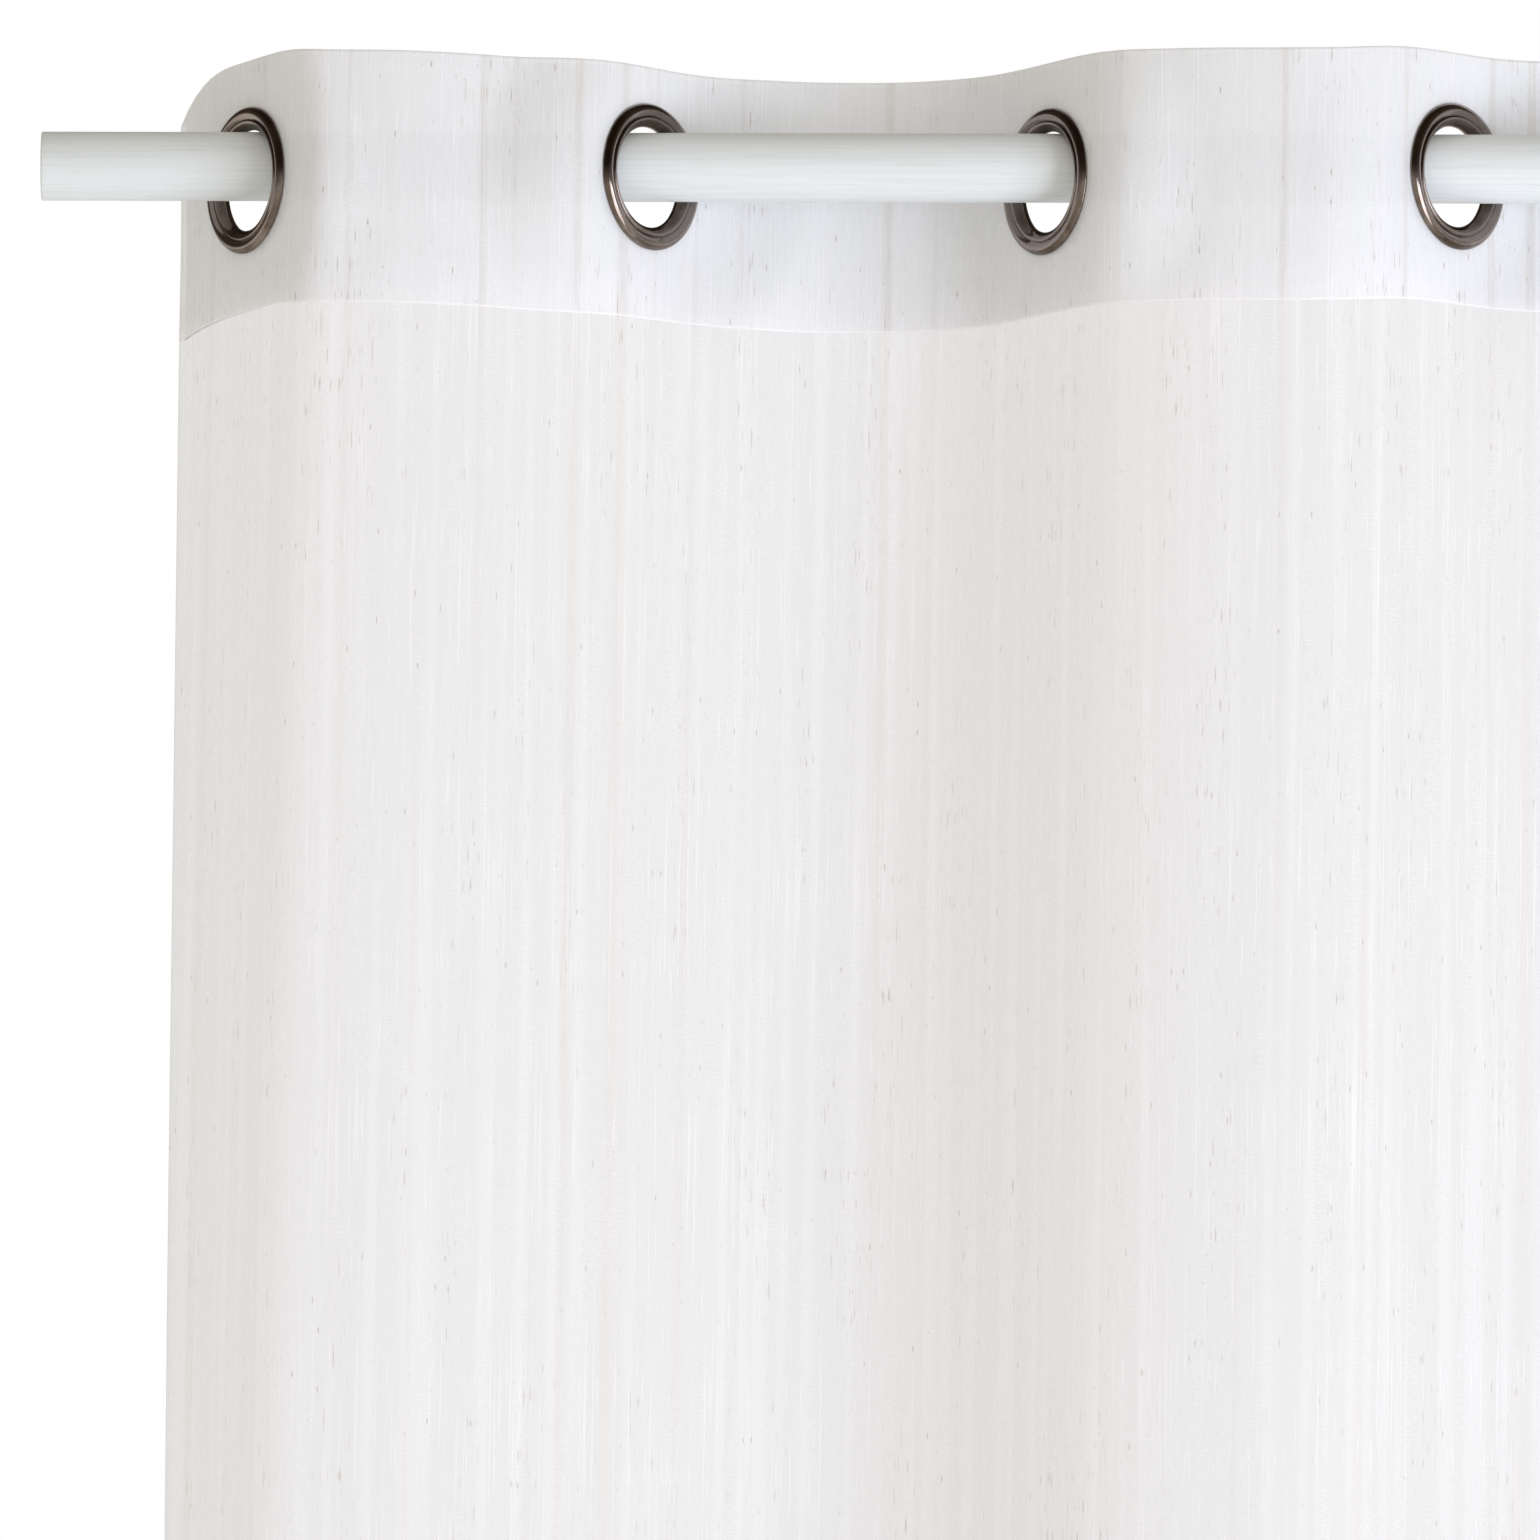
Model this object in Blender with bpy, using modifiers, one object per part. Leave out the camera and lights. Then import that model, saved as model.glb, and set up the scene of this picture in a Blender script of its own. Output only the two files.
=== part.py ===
"""Eyelet curtain of sheer voile on a round rod, hanging at rest.

Metres throughout. +X runs along the rod, +Y goes back from the curtain's face, +Z is up, and the
origin lies on the rod's axis at the middle of its length. A place on the cloth is told by its
course, the flat distance from the left edge, and its drop, the flat distance below the top edge.
"""

import math
from typing import NamedTuple

import bmesh
import bpy
import numpy as np

COLLECTION = "eyelet_curtain"
CUTTERS = "eyelet_holes"

# Rod
ROD_RADIUS = 0.0140
ROD_OVERHANG = 0.0830       # past the centre of the outermost eyelet
ROD_EDGE = 0.0008           # broken edge at the sawn ends
ROD_SIDES = 48

# Cloth
CLOTH_THICKNESS = 0.0010
CURTAIN_DROP = 2.5000
HEADING_DROP = 0.1015
RING_DROP = 0.0455          # from the top edge to the eyelets' centres
GAP = 0.0003                # between pieces that touch

# Eyelet rings, as (radius, height) outlines about the ring's axis. Height 0 is the panel's back.
RING_STEPS = 20
RING_RADIUS = 0.0300
HOLE_RADIUS = 0.0205
BARREL_RADIUS = 0.0222
CLOTH_HOLE_RADIUS = 0.0229
WASHER_RADIUS = 0.0295
WASHER_THICKNESS = 0.0012
RING_CREST = 0.0041
RING_SEAT = CLOTH_THICKNESS + GAP
WASHER_SEAT = -(2 * GAP + CLOTH_THICKNESS)
BARREL_END = WASHER_SEAT - WASHER_THICKNESS
MOUTH = (                   # the hole's wall, from the rolled front lip to the barrel's end
    (0.0242, 0.0037),
    (0.0221, 0.0027),
    (HOLE_RADIUS, 0.0008),
    (HOLE_RADIUS, -0.0008),
    (0.0218, BARREL_END),
)

# How the cloth stands around an eyelet
SEAT_FLAT = 0.0385          # radius pressed flat between the rings
SEAT_FADE = 0.0620          # radius past which the ring no longer bends the cloth
SEAT_COLUMNS = (0.0170, 0.0340)

# How the folds change from the heading to the foot
LEAN = -0.0250              # sideways drift of the folds at the foot
LEAN_DROP = 0.5000          # drop over which most of the drift comes
RELAXED_RUN = math.radians(40.0)
RELAXED_SHARE = 0.5
CORNER_COURSE = 0.0300      # the top corners hang down a little outside the last eyelets
CORNER_SAG = 0.0130
CORNER_DROP = 0.1000

ROWS_IN_HEADING = (0.0, 0.0115, 0.0285, RING_DROP, 0.0625, 0.0795, HEADING_DROP)
ROWS_BELOW = (0.135, 0.200, 0.330, 0.550, 0.880, 1.320, 1.880, CURTAIN_DROP)
COLUMNS_TO_CREST = 3        # between an eyelet's flat patch and the next crest
CURVE_SAMPLES = 48


class Eyelet(NamedTuple):
    """Where the cloth passes the rod. Angles are in degrees from the rod, plus to the back."""

    x: float
    turn: float
    run: float
    depth: float


class Crest(NamedTuple):
    """The front or back of one fold, or a side edge, with its place at the foot."""

    x: float
    depth: float
    round: float
    foot_depth: float


EYELETS = (
    # x from the datum beside the first, the ring's turn, the cloth's own run, the cloth's depth
    Eyelet(0.0016, -58.0, -64.0, 0.000),
    Eyelet(0.1627, 51.0, 27.0, 0.000),
    Eyelet(0.3257, -57.0, -54.0, 0.000),
    Eyelet(0.4897, 50.0, 28.0, -0.008),
    Eyelet(0.6540, -57.0, -60.0, 0.000),
    Eyelet(0.8190, 52.0, 31.0, 0.002),
    Eyelet(0.9815, -57.0, -50.0, -0.002),
    Eyelet(1.1470, 53.0, 58.0, 0.000),
)

CRESTS = (
    # x from the datum, depth, roundness, depth at the foot
    Crest(-0.0270, 0.044, 0.30, 0.050),
    Crest(0.0360, -0.041, 0.42, -0.037),
    Crest(0.2520, 0.041, 0.45, 0.044),
    Crest(0.4200, -0.043, 0.45, -0.039),
    Crest(0.5850, 0.040, 0.46, 0.037),
    Crest(0.7100, -0.041, 0.42, -0.043),
    Crest(0.9060, 0.042, 0.44, 0.039),
    Crest(1.0580, -0.041, 0.46, -0.037),
    Crest(1.1780, 0.043, 0.30, 0.047),
)


class PlanNode(NamedTuple):
    """A point of the cloth's plan curve at one drop, with its heading and its handles' share."""

    x: float
    y: float
    heading: float
    reach: float


EYELET_REACH = 0.42
ROD_LENGTH = EYELETS[-1].x + 2 * ROD_OVERHANG
FIRST_EYELET_X = -EYELETS[-1].x / 2


def smooth(share):
    """0 below 0, 1 above 1, and an even S between."""
    share = min(max(share, 0.0), 1.0)
    return share * share * (3 - 2 * share)


def mixed(a, b, share):
    return a + (b - a) * share


def plan_nodes(drop):
    """The side edges, crests and crossings in order along the rod, at this drop."""
    below = max(drop - HEADING_DROP, 0.0)
    fall = smooth(below / (CURTAIN_DROP - HEADING_DROP))
    lean = LEAN * (1 - math.exp(-below / LEAN_DROP))
    nodes = []
    for index, crest in enumerate(CRESTS):
        at_edge = index in (0, len(CRESTS) - 1)
        near = EYELETS[0 if index == 0 else -1]
        heading = math.radians(near.run) if at_edge else 0.0
        x = crest.x + lean * (0.12 if at_edge else 1.0)
        y = mixed(crest.depth, crest.foot_depth, fall)
        nodes.append(PlanNode(x, y, heading, crest.round))
        if index < len(EYELETS):
            eyelet = EYELETS[index]
            run = math.radians(eyelet.run)
            run = mixed(run, math.copysign(RELAXED_RUN, run), RELAXED_SHARE * fall)
            x = eyelet.x + lean * (0.55 if index in (0, len(EYELETS) - 1) else 1.0)
            nodes.append(PlanNode(x, eyelet.depth, run, EYELET_REACH))
    return nodes


def half_fold(start, end):
    """The curve from one node to the next: close points, their headings, and the length to each."""
    chord = math.hypot(end.x - start.x, end.y - start.y)
    out = start.reach * chord
    back = end.reach * chord
    corners = np.array((
        (start.x, start.y),
        (start.x + out * math.cos(start.heading), start.y + out * math.sin(start.heading)),
        (end.x - back * math.cos(end.heading), end.y - back * math.sin(end.heading)),
        (end.x, end.y),
    ))
    t = np.linspace(0.0, 1.0, CURVE_SAMPLES)[:, None]
    weights = np.hstack(((1 - t) ** 3, 3 * t * (1 - t) ** 2, 3 * t * t * (1 - t), t ** 3))
    points = weights @ corners
    speeds = np.gradient(points, axis=0)
    steps = np.hypot(*np.diff(points, axis=0).T)
    lengths = np.concatenate(((0.0,), np.cumsum(steps)))
    return points[:, 0], points[:, 1], np.arctan2(speeds[:, 1], speeds[:, 0]), lengths


def half_folds(drop):
    nodes = plan_nodes(drop)
    return [half_fold(start, end) for start, end in zip(nodes, nodes[1:])]


HEADING_LENGTHS = [fold[-1][-1] for fold in half_folds(0.0)]
NODE_COURSES = np.concatenate(((0.0,), np.cumsum(HEADING_LENGTHS)))
EYELET_COURSES = NODE_COURSES[1::2]
FLAT_WIDTH = float(NODE_COURSES[-1])


def column_courses():
    """Courses of the grid's columns: close around each eyelet, and even from there to the crest."""
    courses = {0.0, FLAT_WIDTH}
    for index, length in enumerate(HEADING_LENGTHS):
        towards_crest = 1 if index % 2 else -1
        eyelet = EYELET_COURSES[index // 2]
        offsets = [0.0, *SEAT_COLUMNS]
        left = length - SEAT_COLUMNS[-1]
        steps = COLUMNS_TO_CREST if left > SEAT_COLUMNS[0] * 2 else 1
        offsets += [SEAT_COLUMNS[-1] + left * (n + 1) / steps for n in range(steps)]
        courses.update(round(float(eyelet + towards_crest * offset), 6) for offset in offsets)
    ordered = sorted(courses)
    return [b for a, b in zip([-1.0, *ordered], ordered) if b - a > GAP]


def hang(turn):
    """Height of a ring's centre, below the rod's axis, at which its mouth just clears the rod."""
    clear = ROD_RADIUS + GAP
    around = np.linspace(0.0, math.pi, 181)
    lowest = -HOLE_RADIUS
    for radius, height in MOUTH:
        inner = radius * math.cos(math.pi / RING_STEPS)
        across = inner * np.cos(around) * math.sin(abs(turn)) - height * math.cos(turn)
        over = np.abs(across) < clear
        rise = np.sqrt(clear ** 2 - across[over] ** 2) - inner * np.sin(around[over])
        lowest = max(lowest, float(rise.max(initial=-HOLE_RADIUS)))
    return lowest


def ring_centre(index):
    eyelet = EYELETS[index]
    return np.array((FIRST_EYELET_X + eyelet.x, 0.0, hang(math.radians(eyelet.turn))))


RING_CENTRES = [ring_centre(index) for index in range(len(EYELETS))]
TOP_EDGE = float(np.mean([centre[2] for centre in RING_CENTRES])) + RING_DROP


def corner_sag(course, drop):
    """How far the free top corners hang below the top edge's line."""
    from_edge = min(course, FLAT_WIDTH - course)
    side = max(1 - from_edge / CORNER_COURSE, 0.0)
    return CORNER_SAG * side ** 2 * smooth(1 - drop / CORNER_DROP)


def from_eyelet(course, drop):
    """The nearest eyelet's index, and how far along and up from its centre this place lies."""
    index = int(np.argmin(np.abs(EYELET_COURSES - course)))
    return index, course - EYELET_COURSES[index], RING_DROP - drop


def seated(point, normal, course, drop):
    """The point and normal drawn onto the plane of the ring that holds the cloth near it."""
    index, along, up = from_eyelet(course, drop)
    hold = smooth((SEAT_FADE - math.hypot(along, up)) / (SEAT_FADE - SEAT_FLAT))
    turn = math.radians(EYELETS[index].turn)
    flat = RING_CENTRES[index] + (along * math.cos(turn), along * math.sin(turn), up)
    facing = np.array((math.sin(turn), -math.cos(turn), 0.0))
    turned = mixed(normal, facing, hold)
    return mixed(point, flat, hold), turned / np.linalg.norm(turned)


def cloth_row(drop, courses):
    """One row of the cloth's back face, at one drop: each column's point and forward normal."""
    folds = half_folds(drop)
    row = []
    for course in courses:
        index = min(int(np.searchsorted(NODE_COURSES, course, "right")) - 1, len(folds) - 1)
        xs, ys, headings, lengths = folds[index]
        reached = (course - NODE_COURSES[index]) / HEADING_LENGTHS[index] * lengths[-1]
        x, y, heading = (np.interp(reached, lengths, values) for values in (xs, ys, headings))
        z = TOP_EDGE - drop - corner_sag(course, drop)
        point = np.array((FIRST_EYELET_X + x, y, z))
        normal = np.array((math.sin(heading), -math.cos(heading), 0.0))
        row.append(seated(point, normal, course, drop))
    return row


def material(name, colour, roughness, metallic=0.0):
    made = bpy.data.materials.new(name)
    made.use_nodes = True
    shader = made.node_tree.nodes["Principled BSDF"]
    shader.inputs["Base Color"].default_value = (*colour, 1.0)
    shader.inputs["Roughness"].default_value = roughness
    shader.inputs["Metallic"].default_value = metallic
    made.diffuse_color = (*colour, 1.0)
    return made


def add_object(name, mesh, collection, finish=None):
    obj = bpy.data.objects.new(name, mesh)
    collection.objects.link(obj)
    if finish:
        mesh.materials.clear()
        mesh.materials.append(finish)
    return obj


def split_round_eyelets(bm, places):
    """Splits each quad along the diagonal whose ends lie most equally far from the eyelet."""
    for face in list(bm.faces):
        corners = list(face.verts)
        away = [math.hypot(*from_eyelet(*places[vert])[1:]) for vert in corners]
        first = 0 if abs(away[0] - away[2]) < abs(away[1] - away[3]) else 1
        bmesh.utils.face_split(face, corners[first], corners[first + 2])


def add_cloth_face(bm, rows, drops, courses, forward):
    """Adds a grid through the cloth's rows, moved forward along its normals."""
    across, down = len(courses) - 1, len(drops) - 1
    made = bmesh.ops.create_grid(bm, x_segments=across, y_segments=down, size=1.0)
    places = {}
    for vert in made["verts"]:
        column = round((vert.co.x + 1) / 2 * across)
        row = round((1 - vert.co.y) / 2 * down)
        point, normal = rows[row][column]
        vert.co = point + forward * normal
        places[vert] = (courses[column], drops[row])
    return places


def cloth_mesh(name, drops, courses, back):
    """The closed sheet, from its back face to its front face one cloth thickness nearer."""
    bm = bmesh.new()
    rows = [cloth_row(drop, courses) for drop in drops]
    places = add_cloth_face(bm, rows, drops, courses, back)
    places.update(add_cloth_face(bm, rows, drops, courses, back + CLOTH_THICKNESS))
    split_round_eyelets(bm, places)
    rim = [edge for edge in bm.edges if edge.is_boundary]
    bmesh.ops.bridge_loops(bm, edges=rim)
    bmesh.ops.recalc_face_normals(bm, faces=bm.faces)
    mesh = bpy.data.meshes.new(name)
    bm.to_mesh(mesh)
    bm.free()
    mesh.shade_smooth()
    mesh.set_sharp_from_angle(angle=math.radians(50.0))
    return mesh


def make_cloth(name, drops, courses, back, finish, parts, cutters):
    """A sheet of cloth in its folds, cut for the eyelets."""
    sheet = add_object(name, cloth_mesh(name, drops, courses, back), parts, finish)
    holes = sheet.modifiers.new("eyelet holes", "BOOLEAN")
    holes.operation = "DIFFERENCE"
    holes.operand_type = "COLLECTION"
    holes.collection = cutters
    holes.solver = "EXACT"


def turned_mesh(name, outline, finish):
    """A closed outline of (radius, height) points, ready to be turned about Z."""
    bm = bmesh.new()
    verts = [bm.verts.new((radius, 0.0, height)) for radius, height in outline]
    for start, end in zip(verts, verts[1:] + verts[:1]):
        bm.edges.new((start, end))
    mesh = bpy.data.meshes.new(name)
    bm.to_mesh(mesh)
    bm.free()
    mesh.materials.append(finish)
    return mesh


def place_on_ring(obj, index):
    """Stands a shape made about Z on an eyelet's axis, its +Z out of the cloth's face."""
    obj.location = RING_CENTRES[index]
    obj.rotation_euler = (math.pi / 2, 0.0, math.radians(EYELETS[index].turn))


def turn_profile(obj):
    screw = obj.modifiers.new("turned", "SCREW")
    screw.steps = RING_STEPS
    screw.render_steps = RING_STEPS
    screw.use_merge_vertices = True
    screw.merge_threshold = 0.00001
    screw.use_smooth_shade = False


def make_eyelets(front_metal, back_metal, parts):
    """The eight pairs of rings."""
    front = turned_mesh("eyelet front", (
        *reversed(MOUTH),
        (0.0264, RING_CREST),
        (0.0285, 0.0036),
        (RING_RADIUS, 0.0023),
        (RING_RADIUS, RING_SEAT),
        (BARREL_RADIUS, RING_SEAT),
        (BARREL_RADIUS, BARREL_END),
    ), front_metal)
    back = turned_mesh("eyelet back", (
        (BARREL_RADIUS + GAP, BARREL_END),
        (BARREL_RADIUS + GAP, WASHER_SEAT),
        (WASHER_RADIUS, WASHER_SEAT),
        (WASHER_RADIUS, WASHER_SEAT - WASHER_THICKNESS / 2),
        (WASHER_RADIUS - WASHER_THICKNESS / 2, BARREL_END),
    ), back_metal)
    for index in range(len(EYELETS)):
        for side, mesh in (("front", front), ("back", back)):
            ring = bpy.data.objects.new(f"eyelet_{index + 1}_{side}", mesh)
            parts.objects.link(ring)
            turn_profile(ring)
            place_on_ring(ring, index)


def make_cutters(cutters):
    """A round cutter through the cloth at each eyelet."""
    bm = bmesh.new()
    bmesh.ops.create_cone(
        bm,
        cap_ends=True,
        segments=RING_STEPS,
        radius1=CLOTH_HOLE_RADIUS,
        radius2=CLOTH_HOLE_RADIUS,
        depth=CLOTH_THICKNESS * 12,
    )
    mesh = bpy.data.meshes.new("eyelet hole")
    bm.to_mesh(mesh)
    bm.free()
    for index in range(len(EYELETS)):
        cutter = add_object(f"eyelet_hole_{index + 1}", mesh, cutters)
        cutter.hide_render = True
        cutter.display_type = "WIRE"
        place_on_ring(cutter, index)


def make_rod(finish, parts):
    bm = bmesh.new()
    bmesh.ops.create_cone(
        bm,
        cap_ends=True,
        segments=ROD_SIDES,
        radius1=ROD_RADIUS,
        radius2=ROD_RADIUS,
        depth=ROD_LENGTH,
    )
    mesh = bpy.data.meshes.new("rod")
    bm.to_mesh(mesh)
    bm.free()
    mesh.shade_smooth()
    mesh.set_sharp_from_angle(angle=math.radians(40.0))
    rod = add_object("rod", mesh, parts, finish)
    rod.rotation_euler = (0.0, math.pi / 2, 0.0)
    edge = rod.modifiers.new("broken edge", "BEVEL")
    edge.width = ROD_EDGE
    edge.segments = 1
    edge.limit_method = "ANGLE"


def new_collection(name):
    made = bpy.data.collections.new(name)
    bpy.context.scene.collection.children.link(made)
    return made


def main():
    for obj in list(bpy.data.objects):
        bpy.data.objects.remove(obj)
    parts = new_collection(COLLECTION)
    cutters = new_collection(CUTTERS)
    voile = material("slub voile", (0.90, 0.90, 0.89), 0.90)
    doubled = material("slub voile, doubled", (0.93, 0.93, 0.93), 0.90)
    nickel = material("black nickel plate", (0.16, 0.13, 0.11), 0.22, metallic=1.0)
    nickel_back = material("black nickel plate, back", (0.16, 0.13, 0.11), 0.30, metallic=1.0)
    whitewash = material("whitewashed wood", (0.73, 0.76, 0.78), 0.45)
    make_rod(whitewash, parts)
    make_cutters(cutters)
    courses = column_courses()
    panel_rows = ROWS_IN_HEADING + ROWS_BELOW
    behind = -(GAP + CLOTH_THICKNESS)
    make_cloth("voile_panel", panel_rows, courses, 0.0, voile, parts, cutters)
    make_cloth("heading_band", ROWS_IN_HEADING, courses, behind, doubled, parts, cutters)
    make_eyelets(nickel, nickel_back, parts)


main()
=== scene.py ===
"""Sheer slub voile curtain on dark metal eyelets, hung from a whitewashed wooden rod.

Metres throughout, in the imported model's frame: +X runs along the rod, +Y goes back from the
curtain's face, +Z is up, and the origin lies on the rod's axis at the middle of its length. A
place on the cloth is told by its course, the flat distance from the left edge, and its drop, the
flat distance below the top edge.
"""

import logging
import math
from dataclasses import dataclass, field
from enum import Enum
from typing import Any, NamedTuple

import bpy
import numpy as np
from bpy.types import Material, Mesh, Node, NodeSocket, NodeTree, Object
from mathutils import Matrix, Vector


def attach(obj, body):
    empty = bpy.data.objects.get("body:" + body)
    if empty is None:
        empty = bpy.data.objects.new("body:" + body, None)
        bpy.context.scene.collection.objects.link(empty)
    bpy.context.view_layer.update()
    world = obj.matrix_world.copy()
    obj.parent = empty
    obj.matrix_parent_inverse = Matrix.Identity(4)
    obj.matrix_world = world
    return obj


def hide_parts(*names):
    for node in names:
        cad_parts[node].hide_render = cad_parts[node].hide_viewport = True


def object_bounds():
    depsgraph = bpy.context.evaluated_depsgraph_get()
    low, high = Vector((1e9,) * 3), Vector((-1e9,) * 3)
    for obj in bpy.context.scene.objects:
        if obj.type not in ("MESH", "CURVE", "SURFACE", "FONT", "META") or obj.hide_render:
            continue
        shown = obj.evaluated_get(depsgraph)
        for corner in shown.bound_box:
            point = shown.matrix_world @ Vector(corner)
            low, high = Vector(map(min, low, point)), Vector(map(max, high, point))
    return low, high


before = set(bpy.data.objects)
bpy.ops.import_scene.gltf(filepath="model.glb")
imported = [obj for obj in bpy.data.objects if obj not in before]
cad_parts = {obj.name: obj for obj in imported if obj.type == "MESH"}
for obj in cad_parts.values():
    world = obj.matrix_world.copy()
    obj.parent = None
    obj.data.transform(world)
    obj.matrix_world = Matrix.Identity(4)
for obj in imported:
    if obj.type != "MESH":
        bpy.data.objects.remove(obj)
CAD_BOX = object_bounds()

LOG = logging.getLogger("eyelet_curtain")
BODY = "root"
MM = 0.001


class Slot(Enum):
    """The record's material slots."""

    VOILE = "voile"
    DOUBLED = "voile_doubled"
    NICKEL = "black_nickel"
    WOOD = "whitewashed_wood"


def linear(code: str) -> tuple[float, float, float, float]:
    """Turns an sRGB hex value to a linear colour.

    Args:
        code: The colour as #RRGGBB.

    Returns:
        Linear red, green and blue, and an alpha of one.
    """
    channels = [int(code[at:at + 2], 16) / 255 for at in (1, 3, 5)]
    red, green, blue = (
        value / 12.92 if value <= 0.04045 else ((value + 0.055) / 1.055) ** 2.4
        for value in channels
    )
    return red, green, blue, 1.0


def add_node(
    tree: NodeTree,
    kind: str,
    settings: dict[str, Any] | None = None,
    feeds: dict[str | int, Any] | None = None,
) -> Node:
    """Adds a node, sets it up and connects its inputs.

    Args:
        tree: The tree to add to.
        kind: The node's type name.
        settings: Properties of the node itself.
        feeds: For each input, a node or socket to link from, or a value to hold. A node gives
            its first output.

    Returns:
        The new node.
    """
    node = tree.nodes.new(kind)
    for name, value in (settings or {}).items():
        setattr(node, name, value)
    for key, value in (feeds or {}).items():
        source = value.outputs[0] if isinstance(value, Node) else value
        if isinstance(source, NodeSocket):
            tree.links.new(source, node.inputs[key])
        else:
            node.inputs[key].default_value = value
    return node


def new_material(name: str) -> tuple[Material, NodeTree]:
    """Makes an empty node material.

    Args:
        name: The finish's name.

    Returns:
        The material and its tree.
    """
    made = bpy.data.materials.new(name)
    made.use_nodes = True
    made.node_tree.nodes.clear()
    return made, made.node_tree


def new_geometry_tree(name: str, sizes: dict[str, str]) -> tuple[NodeTree, Node]:
    """Starts a Geometry Nodes tree with named inputs.

    Args:
        name: The tree's name.
        sizes: Each input's name and its socket type, after the geometry itself.

    Returns:
        The tree and its group input.
    """
    tree = bpy.data.node_groups.new(name, "GeometryNodeTree")
    face = tree.interface
    face.new_socket("Geometry", in_out="INPUT", socket_type="NodeSocketGeometry")
    for size, kind in sizes.items():
        face.new_socket(size, in_out="INPUT", socket_type=kind)
    face.new_socket("Geometry", in_out="OUTPUT", socket_type="NodeSocketGeometry")
    return tree, add_node(tree, "NodeGroupInput")


def end_geometry_tree(tree: NodeTree, shape: NodeSocket, finish: NodeSocket) -> None:
    """Ends a Geometry Nodes tree with real, painted geometry.

    Args:
        tree: The tree to end.
        shape: The geometry made so far.
        finish: The material to set.
    """
    real = add_node(tree, "GeometryNodeRealizeInstances", feeds={"Geometry": shape})
    painted = add_node(tree, "GeometryNodeSetMaterial", feeds={
        "Geometry": real.outputs["Geometry"], "Material": finish,
    })
    add_node(tree, "NodeGroupOutput", feeds={"Geometry": painted.outputs["Geometry"]})


def grown(name: str, source: Mesh, tree: NodeTree, sizes: dict[str, Any]) -> Object:
    """Runs a Geometry Nodes tree on a mesh and keeps the result as a plain mesh object.

    Args:
        name: The new object's name.
        source: The mesh that the tree starts from.
        tree: The tree.
        sizes: The value of each named input.

    Returns:
        The object, at the origin, with no modifier left on it.
    """
    made = bpy.data.objects.new(name, source)
    bpy.context.scene.collection.objects.link(made)
    modifier = made.modifiers.new(tree.name, "NODES")
    modifier.node_group = tree
    for item in tree.interface.items_tree:
        if item.in_out == "INPUT" and item.name in sizes:
            modifier[item.identifier] = sizes[item.name]
    graph = bpy.context.evaluated_depsgraph_get()
    result = bpy.data.meshes.new_from_object(
        made.evaluated_get(graph), preserve_all_data_layers=True, depsgraph=graph
    )
    made.modifiers.remove(modifier)
    made.data = result
    result.name = name
    return made


def turn_outwards(mesh: Mesh) -> None:
    """Flips a closed mesh whose faces point inwards."""
    mesh.calc_loop_triangles()
    places = np.empty(len(mesh.vertices) * 3)
    mesh.vertices.foreach_get("co", places)
    corners = np.empty(len(mesh.loop_triangles) * 3, dtype=np.int32)
    mesh.loop_triangles.foreach_get("vertices", corners)
    a, b, c = places.reshape(-1, 3)[corners.reshape(-1, 3)].transpose(1, 0, 2)
    if np.einsum("ij,ij->i", a, np.cross(b, c)).sum() < 0:
        mesh.flip_normals()


def settle(piece: Object, slot: Slot, *nodes: str) -> Object:
    """Ties a finished piece to the frame and reports it.

    Args:
        piece: The finished object.
        slot: The material slot meant for its finish; not used.
        nodes: The CAD nodes it stands for.

    Returns:
        The same object.
    """
    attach(piece, BODY)
    if nodes:
        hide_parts(*nodes)
    piece.data.calc_loop_triangles()
    LOG.info("%s: %d triangles", piece.name, len(piece.data.loop_triangles))
    return piece


class YarnMark(NamedTuple):
    """A field of yarn marks: their size in millimetres, and the noise that brings them up."""

    width: float
    length: float
    low: float
    high: float
    seed: float


# Most are drawn about 1 mm wide, because single voile yarns are too fine to show.
YARN_MARKS = {
    "yarns": YarnMark(1.4, 11, 0.15, 0.85, 11.0),
    "pale": YarnMark(6, 500, 0.45, 0.85, 31.0),
    "streaks": YarnMark(1.1, 110, 0.73, 0.84, 23.0),
    "slubs": YarnMark(1.1, 34, 0.76, 0.87, 37.0),
    "broad": YarnMark(7, 1500, 0.64, 0.82, 41.0),
    "picks": YarnMark(3.4, 0.9, 0.40, 0.80, 53.0),
    "patch": YarnMark(10, 70, 0.50, 0.75, 67.0),
    "dashes": YarnMark(0.7, 12, 0.75, 0.88, 71.0),
    "sparse": YarnMark(16, 160, 0.52, 0.74, 83.0),
    "fibres": YarnMark(1.3, 6, 0.88, 0.93, 97.0),
}


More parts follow.
